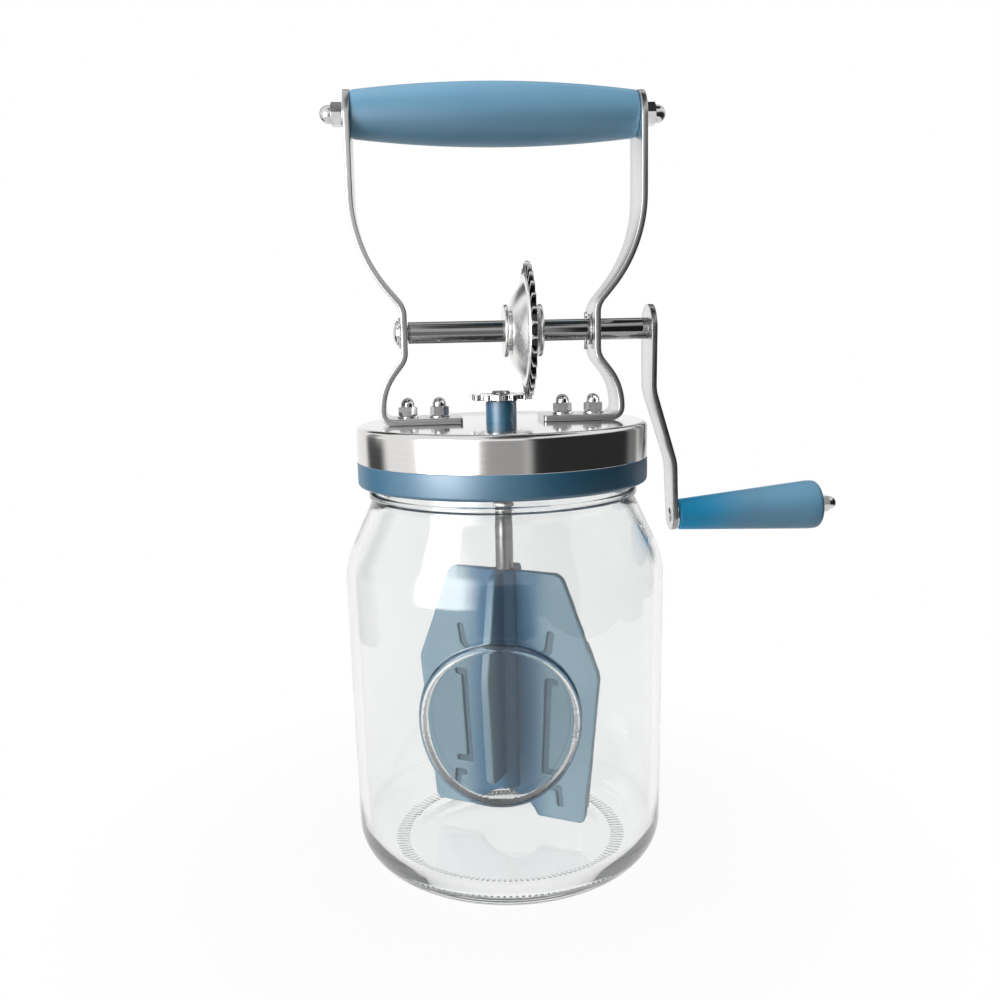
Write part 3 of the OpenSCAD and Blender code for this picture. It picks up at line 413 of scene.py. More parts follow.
axleFrame = {"centre": (0, 0, fit["axleZ"] * mm), "turn": (0, radians(90), 0), "turned": 1.0}
skirtSteel = metalFinish("steelSkirt", {
    "slot": "brushed_steel", "stretch": (6, 6, 5000), "turned": 1.0, "cloudScale": 45, "seed": 1.0,
    "dark": (0.62, 0.61, 0.60), "light": (0.82, 0.81, 0.80), "rough": (0.07, 0.15), "smudge": 0.03, "bump": 0.05})
# the darker tone of the narrow sides is painted shade
stripSteel = metalFinish("steelStrip", {
    "slot": "brushed_steel", "stretch": (12, 3500, 12), "cloudScale": 70, "seed": 2.0,
    "dark": (0.66, 0.66, 0.66), "light": (0.86, 0.86, 0.86), "rough": (0.20, 0.34), "smudge": 0.05, "bump": 0.08,
    "cut": (0.24, 0.235, 0.235)})
brightSteel = metalFinish("steelBright", {
    "slot": "bright_steel", "stretch": (400, 400, 400), "cloudScale": 160, "seed": 3.0,
    "dark": (0.42, 0.42, 0.425), "light": (0.80, 0.80, 0.80), "rough": (0.05, 0.12), "smudge": 0.06, "bump": 0.02})
# the dark tone between the teeth is painted shade
gearSteel = metalFinish("steelGear", {
    **axleFrame, "slot": "bright_steel", "stretch": (20, 20, 2400), "cloudScale": 120, "seed": 4.0,
    "dark": (0.80, 0.795, 0.79), "light": (0.94, 0.935, 0.93), "rough": (0.18, 0.28), "smudge": 0.07, "bump": 0.06,
    "roots": (0.0189, 0.0216), "rootFade": 0.0004, "outerFade": 0.0012, "rootShade": (0.07, 0.068, 0.066)})
# a darker copy of the bright steel: its dark tone is painted shade
axleSteel = metalFinish("steelAxle", {
    **axleFrame, "slot": "bright_steel", "stretch": (60, 60, 3200), "cloudScale": 110, "seed": 5.0,
    "dark": (0.26, 0.255, 0.255), "light": (0.34, 0.335, 0.335), "rough": (0.05, 0.10), "smudge": 0.03, "bump": 0.02})
# a darker copy still of the bright steel: its dark tone is painted shade, also on the spindle clip
stemSteel = metalFinish("steelStem", {
    "slot": "bright_steel", "stretch": (60, 60, 2600), "turned": 1.0, "cloudScale": 140, "seed": 6.0,
    "dark": (0.12, 0.118, 0.118), "light": (0.31, 0.305, 0.30), "rough": (0.12, 0.24), "smudge": 0.07, "bump": 0.08})
gripLook = {
    "slot": "blue_plastic", "cloudScale": 40, "seed": 1.0, "grainScale": 2600, "dark": (0.126, 0.304, 0.452),
    "light": (0.146, 0.334, 0.488), "rough": (0.40, 0.50), "bump": 0.10, "ior": 1.6}
gripBlue = plasticFinish("blueGrip", gripLook)
# painted shade: its end near the arm turns a deeper blue
knobBlue = plasticFinish("blueKnob", {
    **gripLook, "seed": 5.0, "core": (0.002, 0.365, 0.700), "coreShadeReach": (0.066, 0.090), "ior": 1.5})
bandBlue = plasticFinish("blueBand", {
    "slot": "blue_plastic", "cloudScale": 45, "seed": 2.0, "grainScale": 2400, "dark": (0.004, 0.100, 0.190),
    "light": (0.008, 0.116, 0.214), "rough": (0.36, 0.46), "bump": 0.04, "ior": 2.0})
# its grey blue is a painted veil of glass reflections, darkened as painted shade; its slot webs and its middle get
# painted shade too
paddleBlue = plasticFinish("bluePaddle", {
    "slot": "blue_plastic", "cloudScale": 50, "seed": 3.0, "grainScale": 2200, "dark": (0.086, 0.146, 0.182),
    "light": (0.100, 0.162, 0.200), "recess": (0.045, 0.085, 0.115), "core": (0.003, 0.058, 0.122),
    "coreShadeReach": (0.0080, 0.0180), "rough": (0.36, 0.48), "bump": 0.09, "ior": 1.45})
sealWhite = plasticFinish("sealRubber", {
    "slot": "seal_rubber", "cloudScale": 80, "seed": 4.0, "grainScale": 1800, "dark": (0.66, 0.66, 0.64),
    "light": (0.74, 0.74, 0.72), "rough": (0.55, 0.68), "bump": 0.12, "ior": 1.48})
jarGlass = glassFinish("jarGlass", {
    "slot": "clear_glass", "waveScale": 26, "dark": (0.900, 0.909, 0.906), "light": (0.942, 0.948, 0.946),
    "shade": (0.004, 0.006, 0.007), "through": (0.97, 0.98, 0.98), "rough": 0.0, "bump": 0.05, "ior": 1.5,
    "turns": 2.5, "escape": 0.09})
print("stage: finishes ready")


jar = {
    "r": 55.5, "taper": 1.1, "wall": 3.2, "floor": 5.5, "heel": 13, "pushUp": 2, "standW": 5, "standEdge": 0.05,
    "bodyH": 101,
    "dome": [(0, 1), (9, 0.97), (18, 0.84), (27, 0.55), (33, 0.2)],  # radius and share of the push-up
    "inside": [(30, 0), (15, 0.1), (0, 0.2)],  # radius and height above the floor
    "shoulderRound": 26, "lean": 25, "neckWall": 3.4, "neckRun": 2, "mouthRun": 8, "throatRound": 5, "rimShare": 0.32,
    "beadOut": 2, "beadH": 2.2, "beadUp": 0.4, "coneOut": 0.3, "coneLow": 0.6, "coneHigh": 0.5,
    "heelSteps": 20, "lowSteps": 8, "highSteps": 4, "roundSteps": 12, "coneSteps": 6, "neckSteps": 22, "rimSteps": 5,
    "lugOut": 1.4, "lugW": 2.6, "lugSpan": 58, "lugSlope": 2.5, "lugEase": 9, "lugBelow": 4, "lugSkin": 0.6,
    "ringR": 26.3, "ringBand": 2.6, "ringOut": 1.0, "ringZ": 65.5, "ringTurn": 7.8, "ringRows": 160, "ringColumns": 180,
    "ringMargin": 2, "ringSide": 2.5, "otherColumns": 100,
    "discShade": 0.26, "flankShade": 0.85, "innerShade": (0.55, 0.45), "innerEdge": (-0.62, 0.95), "outerEdge": 0.62,
    "ridges": 132, "ridgeIn": 36.6, "ridgeOut": 42.6, "ridgeW": 0.55, "ridgeH": 0.42, "ridgeZ": 0.5,
}


def jarProfile(j):
    lean = radians(j["lean"])
    footR = j["r"] - j["taper"]
    standR = footR - j["heel"]
    c = j["r"] - j["shoulderRound"]
    neckR, jarTop = fit["neckR"], fit["jarTop"]
    mouthR = neckR - j["neckWall"]
    endR = neckR + j["beadOut"] / 2
    arcR = c + j["shoulderRound"] * cos(lean)
    arcZ = j["bodyH"] + j["shoulderRound"] * sin(lean)
    shoulderZ = arcZ + (arcR - endR) / tan(lean)
    beadZ = shoulderZ + j["beadH"] * j["beadUp"]
    beadTop, beadR = beadZ + j["beadH"], neckR + j["beadOut"]
    out = [(r, j["pushUp"] * share) for r, share in j["dome"]]
    out += [(standR - j["standW"], j["standEdge"]), (standR - j["standW"] / 2, 0)]
    out += arcPoints(standR, j["heel"], j["heel"], -90, 0, j["heelSteps"])
    low, high = j["ringZ"] - j["ringR"] - j["ringMargin"], j["ringZ"] + j["ringR"] + j["ringMargin"]
    steps = inBetween((j["heel"],), (low,), j["lowSteps"])
    steps += [(low + (high - low) * k / j["ringRows"],) for k in range(j["ringRows"] + 1)]
    steps += inBetween((high,), (j["bodyH"],), j["highSteps"])
    out += [(footR + j["taper"] * (z - j["heel"]) / (j["bodyH"] - j["heel"]), z) for z, in steps]
    out += arcPoints(c, j["bodyH"], j["shoulderRound"], 0, j["lean"], j["roundSteps"])
    out += inBetween((arcR, arcZ), (endR, shoulderZ), j["coneSteps"])
    start = beadTop + j["neckRun"]
    out += rounded([
        (endR + j["coneOut"], shoulderZ - j["coneLow"]), (neckR, shoulderZ + j["coneHigh"], 0.6), (neckR, beadZ, 0.3),
        (beadR, beadZ, 0.8), (beadR, beadTop, 0.8), (neckR, beadTop, 0.4), (neckR, start)], 4, closed=False)
    rim = j["neckWall"] * j["rimShare"]
    out += inBetween((neckR, start), (neckR, jarTop - rim), j["neckSteps"])
    out += arcPoints(neckR - rim, jarTop - rim, rim, 0, 90, j["rimSteps"])
    out += arcPoints(mouthR + rim, jarTop - rim, rim, 90, 180, j["rimSteps"])
    outerRows = len(out)
    inner = j["shoulderRound"] - j["wall"]
    innerR, innerZ = c + inner * cos(lean), j["bodyH"] + inner * sin(lean)
    neckZ = innerZ + (innerR - mouthR) / tan(lean)
    mouth = [(mouthR, jarTop - j["mouthRun"]), (mouthR, neckZ, j["throatRound"]), (innerR, innerZ)]
    out += rounded(mouth, j["coneSteps"], closed=False)
    out += arcPoints(c, j["bodyH"], inner, j["lean"], 0, j["roundSteps"])[1:]
    heel = j["heel"] - j["wall"]
    wallLow, lowZ = footR - j["wall"], j["floor"] + heel
    out += inBetween((j["r"] - j["wall"], j["bodyH"]), (wallLow, lowZ), j["roundSteps"])
    out += arcPoints(wallLow - heel, lowZ, heel, 0, -90, j["roundSteps"])
    out += [(r, j["floor"] + rise) for r, rise in j["inside"]]
    return out, outerRows


def jarColumns(j):  # close together over the front ring, wider apart elsewhere
    middle = -90 - j["ringTurn"]
    reach = degrees((j["ringR"] + j["ringSide"]) / j["r"])
    dense = [middle - reach + 2 * reach * k / j["ringColumns"] for k in range(j["ringColumns"] + 1)]
    rest, count = 360 - 2 * reach, j["otherColumns"]
    return [radians(a) for a in dense + [middle + reach + rest * k / count for k in range(1, count)]]


offRing = 9  # any place well outside the ring


def ringPlace(j, a, r, z):  # from -1 at the ring's inner edge to 1 at its outer edge
    across = (a + radians(90 + j["ringTurn"]) + pi) % (2 * pi) - pi
    if abs(across) > 1 or z < j["heel"] or z > j["bodyH"]:
        return offRing
    rho = hypot(across * r, z - j["ringZ"])
    return (rho - (j["ringR"] - j["ringBand"] / 2)) / (j["ringBand"] / 2)


def jarLift(j, a, r, z):  # how far a point of the outer wall stands out, for the ring and the lugs
    if z > fit["lugZ"] - j["lugBelow"] and r > fit["neckR"] - j["lugSkin"]:
        step = 2 * pi / fit["lugs"]
        off = (a + step / 2) % step - step / 2
        along = off / radians(j["lugSpan"] / 2)
        if abs(along) < 1:
            mid = fit["lugZ"] + r * sin(off) * tan(radians(j["lugSlope"]))
            near = max(0.0, 1 - (abs(z - mid) / (j["lugW"] / 2)) ** 3)
            return j["lugOut"] * near * min(1.0, (1 - abs(along)) * j["lugEase"])
        return 0
    t = ringPlace(j, a, r, z)
    return j["ringOut"] * (1 - t * t) ** 1.5 if abs(t) < 1 else 0


def jarShade(j, a, r, z):  # the ring's flanks and the disc inside it look darker than the wall
    t = ringPlace(j, a, r, z)
    if t >= 1:
        return 0
    if t <= -1:
        return j["discShade"]
    low = min(1.0, max(0.0, 0.5 - (z - j["ringZ"]) / (2 * j["ringR"])))  # from 0 at the ring's top to 1 at its foot
    if t < j["innerEdge"][0] + j["innerEdge"][1] * low ** 1.5:
        return j["innerShade"][0] + j["innerShade"][1] * low
    return j["flankShade"] if t > j["outerEdge"] else 0


def buildJar(j):
    profile, outerRows = jarProfile(j)
    columns = jarColumns(j)
    bm = bmesh.new()
    shade = bm.verts.layers.float.new("shade")
    rows = []
    for i, (r, z) in enumerate(profile):
        if i >= outerRows or r < nearAxis:
            spots = [(r, 0)] * len(columns)
        else:
            spots = [(r + jarLift(j, a, r, z), jarShade(j, a, r, z)) for a in columns]
        row = []
        for a, (out, tone) in zip(columns, spots[:1] if r < nearAxis else spots):
            vert = bm.verts.new((out * cos(a), out * sin(a), z))
            vert[shade] = tone
            row.append(vert)
        rows.append(row * len(columns) if r < nearAxis else row)
    joinRows(bm, rows)
    ridge = bmesh.new()
    mid, length = (j["ridgeIn"] + j["ridgeOut"]) / 2, j["ridgeOut"] - j["ridgeIn"]
    bmesh.ops.create_icosphere(ridge, subdivisions=1, radius=1)
    bmesh.ops.scale(ridge, vec=(length / 2, j["ridgeW"], j["ridgeH"]), verts=ridge.verts)
    bmesh.ops.translate(ridge, vec=(mid, 0, j["ridgeZ"]), verts=ridge.verts)
    mesh = setAround("jar", meshFrom(ridge, "ridge"), meshFrom(bm, "jarBody"), j["ridges"], jarGlass)
    finishPiece("jar", mesh, jarGlass, "jar", "glass_jar", sharp=50)


buildJar(jar)
print("stage: jar ready")


lid = {
    "capRound": 2.2, "underRound": 1.6, "sheet": 0.8, "bandRound": 1.2, "lugIn": 0.8, "lugSpan": 29, "lugW": 2.6,
    "lugSteps": 12, "lugStart": 0.15, "lugRoot": 0.4, "lugFlat": 0.2, "segments": 256,
    "boreR": fit["bushR"] + fit["slip"],
}


def lugBlocks(bm, l, bore, z):  # lugs that stand into a bore
    steps, height = l["lugSteps"], l["lugW"]
    for k in range(fit["lugs"]):
        rows = []
        for s in range(steps + 1):
            a = radians(k * 360 / fit["lugs"] - l["lugSpan"] / 2 + l["lugSpan"] * s / steps)
            tip = bore - l["lugIn"] * min(1.0, min(s, steps - s) / 2 + l["lugStart"])  # eases in at both ends
            root, flat = bore + l["lugRoot"], height * l["lugFlat"]
            section = [(root, -height / 2), (tip, -flat), (tip, flat), (root, height / 2)]
            rows.append([bm.verts.new((r * cos(a), r * sin(a), z + h)) for r, h in section])
        joinRows(bm, rows, capped=True)


def buildLid(l):
    bore, outer, sheetR = l["boreR"], fit["lidR"], fit["lidR"] - l["sheet"]
    lathePiece("lidCap", [
        (bore, fit["capUnder"]), (sheetR, fit["capUnder"], l["underRound"]), (sheetR, fit["skirtZ"], 0.2),
        (outer, fit["skirtZ"], 0.2), (outer, fit["lidTop"], l["capRound"]), (bore, fit["lidTop"])], 8,
        skirtSteel, "lid", "lid_cap", segments=l["segments"])
    innerR, collarR = fit["collarBore"], sheetR - fit["slip"]
    collar = bmesh.new()
    latheMesh(collar, rounded([
        (bore, fit["plateZ"]), (innerR, fit["plateZ"], 0.6), (innerR, fit["bandZ"], 0.4),
        (outer, fit["bandZ"], l["bandRound"]), (outer, fit["skirtZ"], 0.15), (collarR, fit["skirtZ"]),
        (collarR, fit["capUnder"], l["underRound"]), (bore, fit["capUnder"])], 6), l["segments"])
    lugBlocks(collar, l, innerR, fit["lugZ"] - 2 * l["lugW"])
    finishPiece("lidCollar", meshFrom(collar, "lidCollar"), bandBlue, "lid", "lid_collar")


buildLid(lid)

bush = {"bore": 2.96, "flangeR": 9, "flangeT": 2}
flangeZ = fit["plateZ"] - bush["flangeT"]
lathePiece("spindleBush", [
    (bush["bore"], fit["bushLow"], 0.2), (fit["bushR"], fit["bushLow"], 0.4), (fit["bushR"], flangeZ, 0.3),
    (bush["flangeR"], flangeZ, 0.4), (bush["flangeR"], fit["plateZ"], 0.2), (fit["bushR"], fit["plateZ"]),
    (fit["bushR"], fit["bushTop"], 0.5), (bush["bore"], fit["bushTop"], 0.3)], 5, bandBlue, "lid", "spindle_bush")

seal = {"inner": 39.8, "outer": 44.4, "edge": 0.5}
lathePiece("lidSeal", [
    (seal["inner"], fit["jarTop"], seal["edge"]), (seal["outer"], fit["jarTop"], seal["edge"]),
    (seal["outer"], fit["plateZ"], seal["edge"]), (seal["inner"], fit["plateZ"], seal["edge"])], 5,
    sealWhite, "seal", "lid_seal", segments=192)
print("stage: lid ready")


strip = {  # how finely a bent strip is divided, and shares of its edge
    "step": 1.2, "bendStep": 2.5, "bendRows": 6, "denser": 6, "leastHalf": 0.05, "edgeShare": 0.9, "sideShare": 0.6,
}


def stripPath(runs, tail, x, z, heading):  # runs are (straight length, bend radius, bend in degrees)
    rows = [(x, z, heading, 0.0)]
    along = 0.0

    def straight(length):
        nonlocal x, z, along
        steps = max(1, int(length / strip["step"]))
        for k in range(steps):
            x += cos(heading) * length / steps
            z += sin(heading) * length / steps
            along += length / steps
            rows.append((x, z, heading, along))

    for length, radius, bend in runs:
        straight(length)
        turn = radians(bend)
        side = copysign(radius, turn)
        cx, cz = x - sin(heading) * side, z + cos(heading) * side
        steps = max(strip["bendRows"], int(abs(bend) / strip["bendStep"]))
        first = heading
        for k in range(1, steps + 1):
            heading = first + turn * k / steps
            x, z = cx + sin(heading) * side, cz - cos(heading) * side
            along += abs(turn) * radius / steps
            rows.append((x, z, heading, along))
    straight(tail)
    return rows


def denser(rows, test):  # adds rows where the strip's outline is round
    out = [rows[0]]
    for a, b in zip(rows, rows[1:]):
        if test(b) or test(a):
            out += inBetween(a, b, strip["denser"])
        out.append(b)
    return out


def roundHalf(radius, off):  # half width of a round end, at a distance from its centre
    return sqrt(max(0.0, radius ** 2 - off ** 2))


def stripMesh(name, path, half, look):  # path rows are (x, z, heading, length so far), half gives the half width
    thick, edge = look["thick"] / 2, look["edge"]
    bm = bmesh.new()
    cut = bm.faces.layers.float.new("cut")  # marks the narrow sides, for their painted shade
    rows = []
    for row in path:
        x, z, heading = row[:3]
        w = max(half(row), strip["leastHalf"])
        c = min(edge, w * strip["edgeShare"])
        section = rounded([(-w, -thick, c), (w, -thick, c), (w, thick, c), (-w, thick, c)], 3)
        rows.append([bm.verts.new((x - sin(heading) * t, y, z + cos(heading) * t)) for y, t in section])
    for low, high in zip(rows, rows[1:]):
        reach = [abs(v.co.y) for v in low]
        side = max(reach) - edge * strip["sideShare"]
        for j, face in enumerate(joinRows(bm, [low, high])):
            face[cut] = look["edgeShadeShare"] if min(reach[j], reach[(j + 1) % len(reach)]) > side else 0
    bm.faces.new(rows[0])
    bm.faces.new(rows[-1])
    return meshFrom(bm, name)


bracket = {
    "width": 18, "thick": fit["strapT"], "foot": 13.7, "footBend": 3.4, "footRise": 0.5, "belly": 40.35,
    "bellyBend": 20, "waist": 32.35, "waistBend": 7, "lowerLean": 38, "upperLean": 40, "upperBend": 46.8, "top": 48.25,
    "waistUp": 5.6, "end": 7.6, "edge": 0.4, "footCorner": 0.9, "edgeShadeShare": 0.6, "tip": 0.8,
}


def bracketMesh(b):
    lower, upper = radians(b["lowerLean"]), radians(b["upperLean"])
    lowerBends, upperBends = b["bellyBend"] + b["waistBend"], b["upperBend"] + b["waistBend"]
    lowerRun = (b["belly"] - b["waist"] - lowerBends * (1 - cos(lower))) / sin(lower)
    upperRun = (b["top"] - b["waist"] - upperBends * (1 - cos(upper))) / sin(upper)
    footZ = fit["lidTop"] + b["thick"] / 2
    lowRise = lowerBends * sin(lower) + lowerRun * cos(lower)
    highRise = upperBends * sin(upper) + upperRun * cos(upper)
    waistRun = fit["axleZ"] + b["waistUp"] - (footZ + b["footBend"] + b["footRise"] + lowRise)
    tail = fit["gripZ"] + b["end"] - fit["axleZ"] - b["waistUp"] - highRise
    rows = stripPath([
        (b["belly"] - b["footBend"] - b["foot"], b["footBend"], 90), (b["footRise"], b["bellyBend"], b["lowerLean"]),
        (lowerRun, b["waistBend"], -b["lowerLean"]), (waistRun, b["waistBend"], -b["upperLean"]),
        (upperRun, b["upperBend"], b["upperLean"])], tail, b["foot"], footZ, 0)
    total, full, corner = rows[-1][3], b["width"] / 2, b["footCorner"]

    def half(row):
        s = row[3]
        if s > total - full:
            return roundHalf(full, s - (total - full))
        return full - corner + roundHalf(corner, corner - s) if s < corner else full

    rows = denser(rows, lambda row: row[3] > total - full or row[3] < corner)
    rows = denser(rows, lambda row: row[3] > total - b["tip"])
    return stripMesh("bracket", rows, half, b)


rightMesh = bracketMesh(bracket)
leftMesh = rightMesh.copy()
finishPiece("rightBracket", rightMesh, stripSteel, "lid", "right_bracket")
finishPiece("leftBracket", leftMesh, stripSteel, "lid", "left_bracket", turnLeft)

arm = {
    "x": 51.9, "thick": 2, "topR": 8.2, "tipR": 5.3, "offset": 7.8, "lean": 17, "bend": 15, "straight": 19,
    "length": 65.8, "edge": 0.25, "edgeShadeShare": 0.85, "tip": 0.8,
}


def armMesh(a):
    lean, tilt = radians(a["lean"]), radians(fit["knobTilt"])
    inX, outX = a["bend"] * (1 - cos(lean)), a["bend"] * (cos(tilt) - cos(lean))
    inZ, outZ = a["bend"] * sin(lean), a["bend"] * (sin(lean) - sin(tilt))
    run = (a["offset"] - inX - outX) / sin(lean)
    axleZ, pivotZ = fit["axleZ"], fit["axleZ"] - a["length"]
    bentZ = axleZ - a["straight"] - inZ - outZ - run * cos(lean)
    tail = (bentZ - pivotZ) / cos(tilt) + a["tipR"]
    runs = [(a["topR"] + a["straight"], a["bend"], a["lean"]), (run, a["bend"], fit["knobTilt"] - a["lean"])]
    rows = stripPath(runs, tail, a["x"], axleZ + a["topR"], -pi / 2)

    def half(row):
        z = row[1]
        if z > axleZ:
            return roundHalf(a["topR"], z - axleZ)
        if z < pivotZ:
            return roundHalf(a["tipR"], z - pivotZ)
        return a["tipR"] + (a["topR"] - a["tipR"]) * (z - pivotZ) / a["length"]

    rows = denser(rows, lambda row: row[1] > axleZ or row[1] < pivotZ)
    high, low = rows[0][1] - a["tip"], pivotZ - a["tipR"] + a["tip"]
    rows = denser(rows, lambda row: row[1] > high or row[1] < low)
    return stripMesh("crankArm", rows, half, a)


finishPiece("crankArm", armMesh(arm), stripSteel, "crank", "crank_arm")
print("stage: brackets and arm ready")


nut = {  # the dome and its neck are shares of the width across the flats
    "columns": 48, "chamfer": 30, "edge": 0.05, "dome": 0.42, "neck": 0.12, "lip": 0.12, "domeEnd": 84, "domeSteps": 9,
    "holeEdge": 0.3,
}
smallNut, largeNut = {"af": 5.6, "height": 3.14}, {"af": 7.0, "height": 3.5}  # af is the width across the flats


def hexRows(bm, af, height):  # hexagon whose corners are turned off at both ends
    columns, flat, rise = nut["columns"], af / 2 - nut["edge"], tan(radians(nut["chamfer"]))
    edges = []
    for z, slope in ((0, rise), (height, -rise)):
        row = []
        for j in range(columns):
            a = 2 * pi * j / columns
            r = (af / 2) / cos((a + pi / 6) % (pi / 3) - pi / 6)
            row.append(bm.verts.new((r * cos(a), r * sin(a), z + slope * (r - flat))))
        edges.append(row)
    return [ringRow(bm, columns, flat, 0), *edges, ringRow(bm, columns, flat, height)]


def capNutMesh(af, height):  # a domed nut standing on z 0
    bm = bmesh.new()
    domeR = af * nut["dome"]
    outline = [(domeR + nut["lip"], height), (domeR, height + nut["lip"])]
    outline += arcPoints(0, height + af * nut["neck"], domeR, 0, nut["domeEnd"], nut["domeSteps"])
    rows = hexRows(bm, af, height) + [ringRow(bm, nut["columns"], r, z) for r, z in outline]
    joinRows(bm, rows, capped=True)
    return meshFrom(bm, "capNut")


def plainNutMesh(af, height, hole):
    bm = bmesh.new()
    rows = hexRows(bm, af, height)
    rows += [ringRow(bm, nut["columns"], hole, z) for z in (height - nut["holeEdge"], nut["holeEdge"])]
    joinRows(bm, rows, around=True)
    return meshFrom(bm, "plainNut")


def ringMesh(outer, inner, height=fit["washerT"], edge=0.15, segments=64):
    return latheSolid("ring", [
        (inner, 0, edge), (outer, 0, edge), (outer, height, edge), (inner, height, edge)], 3, segments)


def pairedPiece(name, node, mesh, place, count=1, pitch=0.0):  # a row of fasteners on both sides
    mesh.transform(place)
    made = throughTree(bothSides, name, mesh, {"Count": count, "Pitch": pitch, "Finish": brightSteel})
    finishPiece(name, made, brightSteel, "lid", node)


foot = {
    "inner": 21.3, "pitch": 10.75, "turn": 24, "washerR": 3.6, "boltR": 1.5, "boltLen": 10.9, "headR": 2.8,
    "headH": 1.6, "headTop": 0.8,
}
footTop = fit["lidTop"] + fit["strapT"]
footBolt = latheSolid("footBolt", [
    (0, 0), (foot["headR"] * foot["headTop"], 0, 0.4), (foot["headR"], foot["headH"], 0.1),
    (foot["boltR"], foot["headH"]), (foot["boltR"], foot["boltLen"], 0.3), (0, foot["boltLen"])], 4, 48, closed=False)
footNut = capNutMesh(**smallNut)
footNut.transform(turned(foot["turn"], "Z"))
for name, node, mesh, z in (
        ("footNuts", "foot_nuts", footNut, footTop + fit["washerT"]),
        ("footWashers", "foot_washers", ringMesh(foot["washerR"], foot["boltR"] + fit["slip"]), footTop),
        ("footBolts", "foot_bolts", footBolt, fit["plateZ"] - foot["headH"])):
    pairedPiece(name, node, mesh, Matrix.Translation((foot["inner"], 0, z)), 2, foot["pitch"])

gripEnd = {"washerR": 4.1, "rodR": 2.0, "rodHalf": 55.1, "rodEdge": 0.3}
gripFace = fit["topX"] + fit["strapT"]
pairedPiece("gripNuts", "grip_nuts", capNutMesh(**largeNut), onGrip @ up(gripFace + fit["washerT"]))
pairedPiece("gripWashers", "grip_washers", ringMesh(gripEnd["washerR"], gripEnd["rodR"] + fit["slip"]),
            onGrip @ up(gripFace))
lathePiece("gripRod", [
    (0, -gripEnd["rodHalf"]), (gripEnd["rodR"], -gripEnd["rodHalf"], gripEnd["rodEdge"]),
    (gripEnd["rodR"], gripEnd["rodHalf"], gripEnd["rodEdge"]), (0, gripEnd["rodHalf"])], 3,
    brightSteel, "lid", "grip_rod", onGrip, 48, closed=False)
print("stage: fasteners ready")


grip = {"half": 47.16, "midR": 10.25, "endR": 7.5, "edge": 1.2, "bore": 2.04, "steps": 48}


def gripCorners(g):
    bulge = g["midR"] - g["endR"]
    bellyR = (g["half"] ** 2 + bulge ** 2) / (2 * bulge)
    bellyEnd = degrees(asin(g["half"] / bellyR))
    belly = [(g["midR"] - bellyR + x, y) for x, y in arcPoints(0, 0, bellyR, -bellyEnd, bellyEnd, g["steps"])]
    ends = [(*belly[0], g["edge"]), (*belly[-1], g["edge"])]
    return [(g["bore"], -g["half"]), ends[0], *belly[1:-1], ends[1], (g["bore"], g["half"])]


lathePiece("handleGrip", gripCorners(grip), 6, gripBlue, "lid", "handle_grip", onGrip, 128)

knob = {
    "start": 1.8, "length": 51.6, "neckR": 5.4, "neckRound": 0.8, "bigR": 8.7, "swell": 14, "endRound": 5,
    "endShare": 0.8, "endDraft": 0.2, "bore": 2.06,
    "washerR": 3.6, "washerBore": 1.54, "spacerR": 4.9, "spacerBore": 2.04, "spacerX": 1,
    "pinR": 2, "threadR": 1.5, "threadLen": 5.2, "headX": -1.5, "seatX": -1.0, "headR": 3.0, "headFaceR": 2.1,
}


def buildKnob(k):
    end = k["start"] + k["length"]
    nutX = end + fit["play"]
    tip = nutX + k["threadLen"]
    lathePiece("crankKnob", [
        (k["bore"], k["start"]), (k["neckR"], k["start"], k["neckRound"]),
        (k["bigR"], end - k["endRound"] * k["endShare"], k["swell"]),
        (k["bigR"] - k["endDraft"], end, k["endRound"]), (k["bore"], end, 0.5)], 12,
        knobBlue, "knob", "crank_knob", onKnob, 128)
    for name, node, mesh, x in (
            ("knobWasher", "knob_washer", ringMesh(k["washerR"], k["washerBore"]), nutX),
            ("knobNut", "knob_nut", capNutMesh(**smallNut), nutX + fit["washerT"]),
            ("knobSpacer", "knob_spacer", ringMesh(k["spacerR"], k["spacerBore"]), k["spacerX"])):
        finishPiece(name, mesh, brightSteel, "crank", node, onKnob @ up(x))
    lathePiece("knobSpindle", [
        (0, k["headX"]), (k["headFaceR"], k["headX"], 0.4), (k["headR"], k["seatX"], 0.1), (k["pinR"], k["seatX"]),
        (k["pinR"], nutX, 0.1), (k["threadR"], nutX), (k["threadR"], tip, 0.2), (0, tip)], 4,
        brightSteel, "crank", "knob_spindle", onKnob, 48, closed=False)


buildKnob(knob)
print("stage: grip and knob ready")


axle = {  # profiles are (radius, place along the axle, corner radius)
    "profile": [(0, -35.56), (2.5, -35.56, 0.3), (2.5, -31.1), (fit["axleR"], -31.1, 0.3), (fit["axleR"], 50.9, 0.2),
                (2.7, 50.9), (2.7, 52.9), (3.6, 52.9, 0.1), (2.6, 53.7, 0.3), (0, 53.8)],
    "cap": [(2.54, 0.6), (4.2, 0.6, 0.2), (4.2, 1.2, 0.4), (3.3, 1.9, 0.8), (1.6, 2.45, 2), (0, 2.5), (0, 1.95),
            (2.54, 1.95)],
    "washerR": 5.2, "capBore": 2.54, "thrustBore": 3.69,
}
lathePiece("crankAxle", axle["profile"], 4, axleSteel, "crank", "crank_axle", onAxle, closed=False)
capPlace = turnLeft @ onAxle @ up(fit["waistX"] + fit["strapT"] + fit["play"])
thrustPlace = onAxle @ up(fit["waistX"] - fit["washerT"] - fit["play"])
lathePiece("axleCap", axle["cap"], 4, brightSteel, "crank", "axle_cap", capPlace, 64)
for name, node, bore, place in (
        ("capWasher", "cap_washer", axle["capBore"], capPlace),
        ("thrustWasher", "thrust_washer", axle["thrustBore"], thrustPlace)):
    finishPiece(name, ringMesh(axle["washerR"], bore), brightSteel, "crank", node, place)

hub = {
    "left": 2.721, "right": 12.921, "flangeR": 8.9, "flangeT": 1.5, "flangeEdge": 0.5, "sleeveR": 5.5, "stepR": 6.7,
    "stepT": 0.9, "bore": 3.69,
}


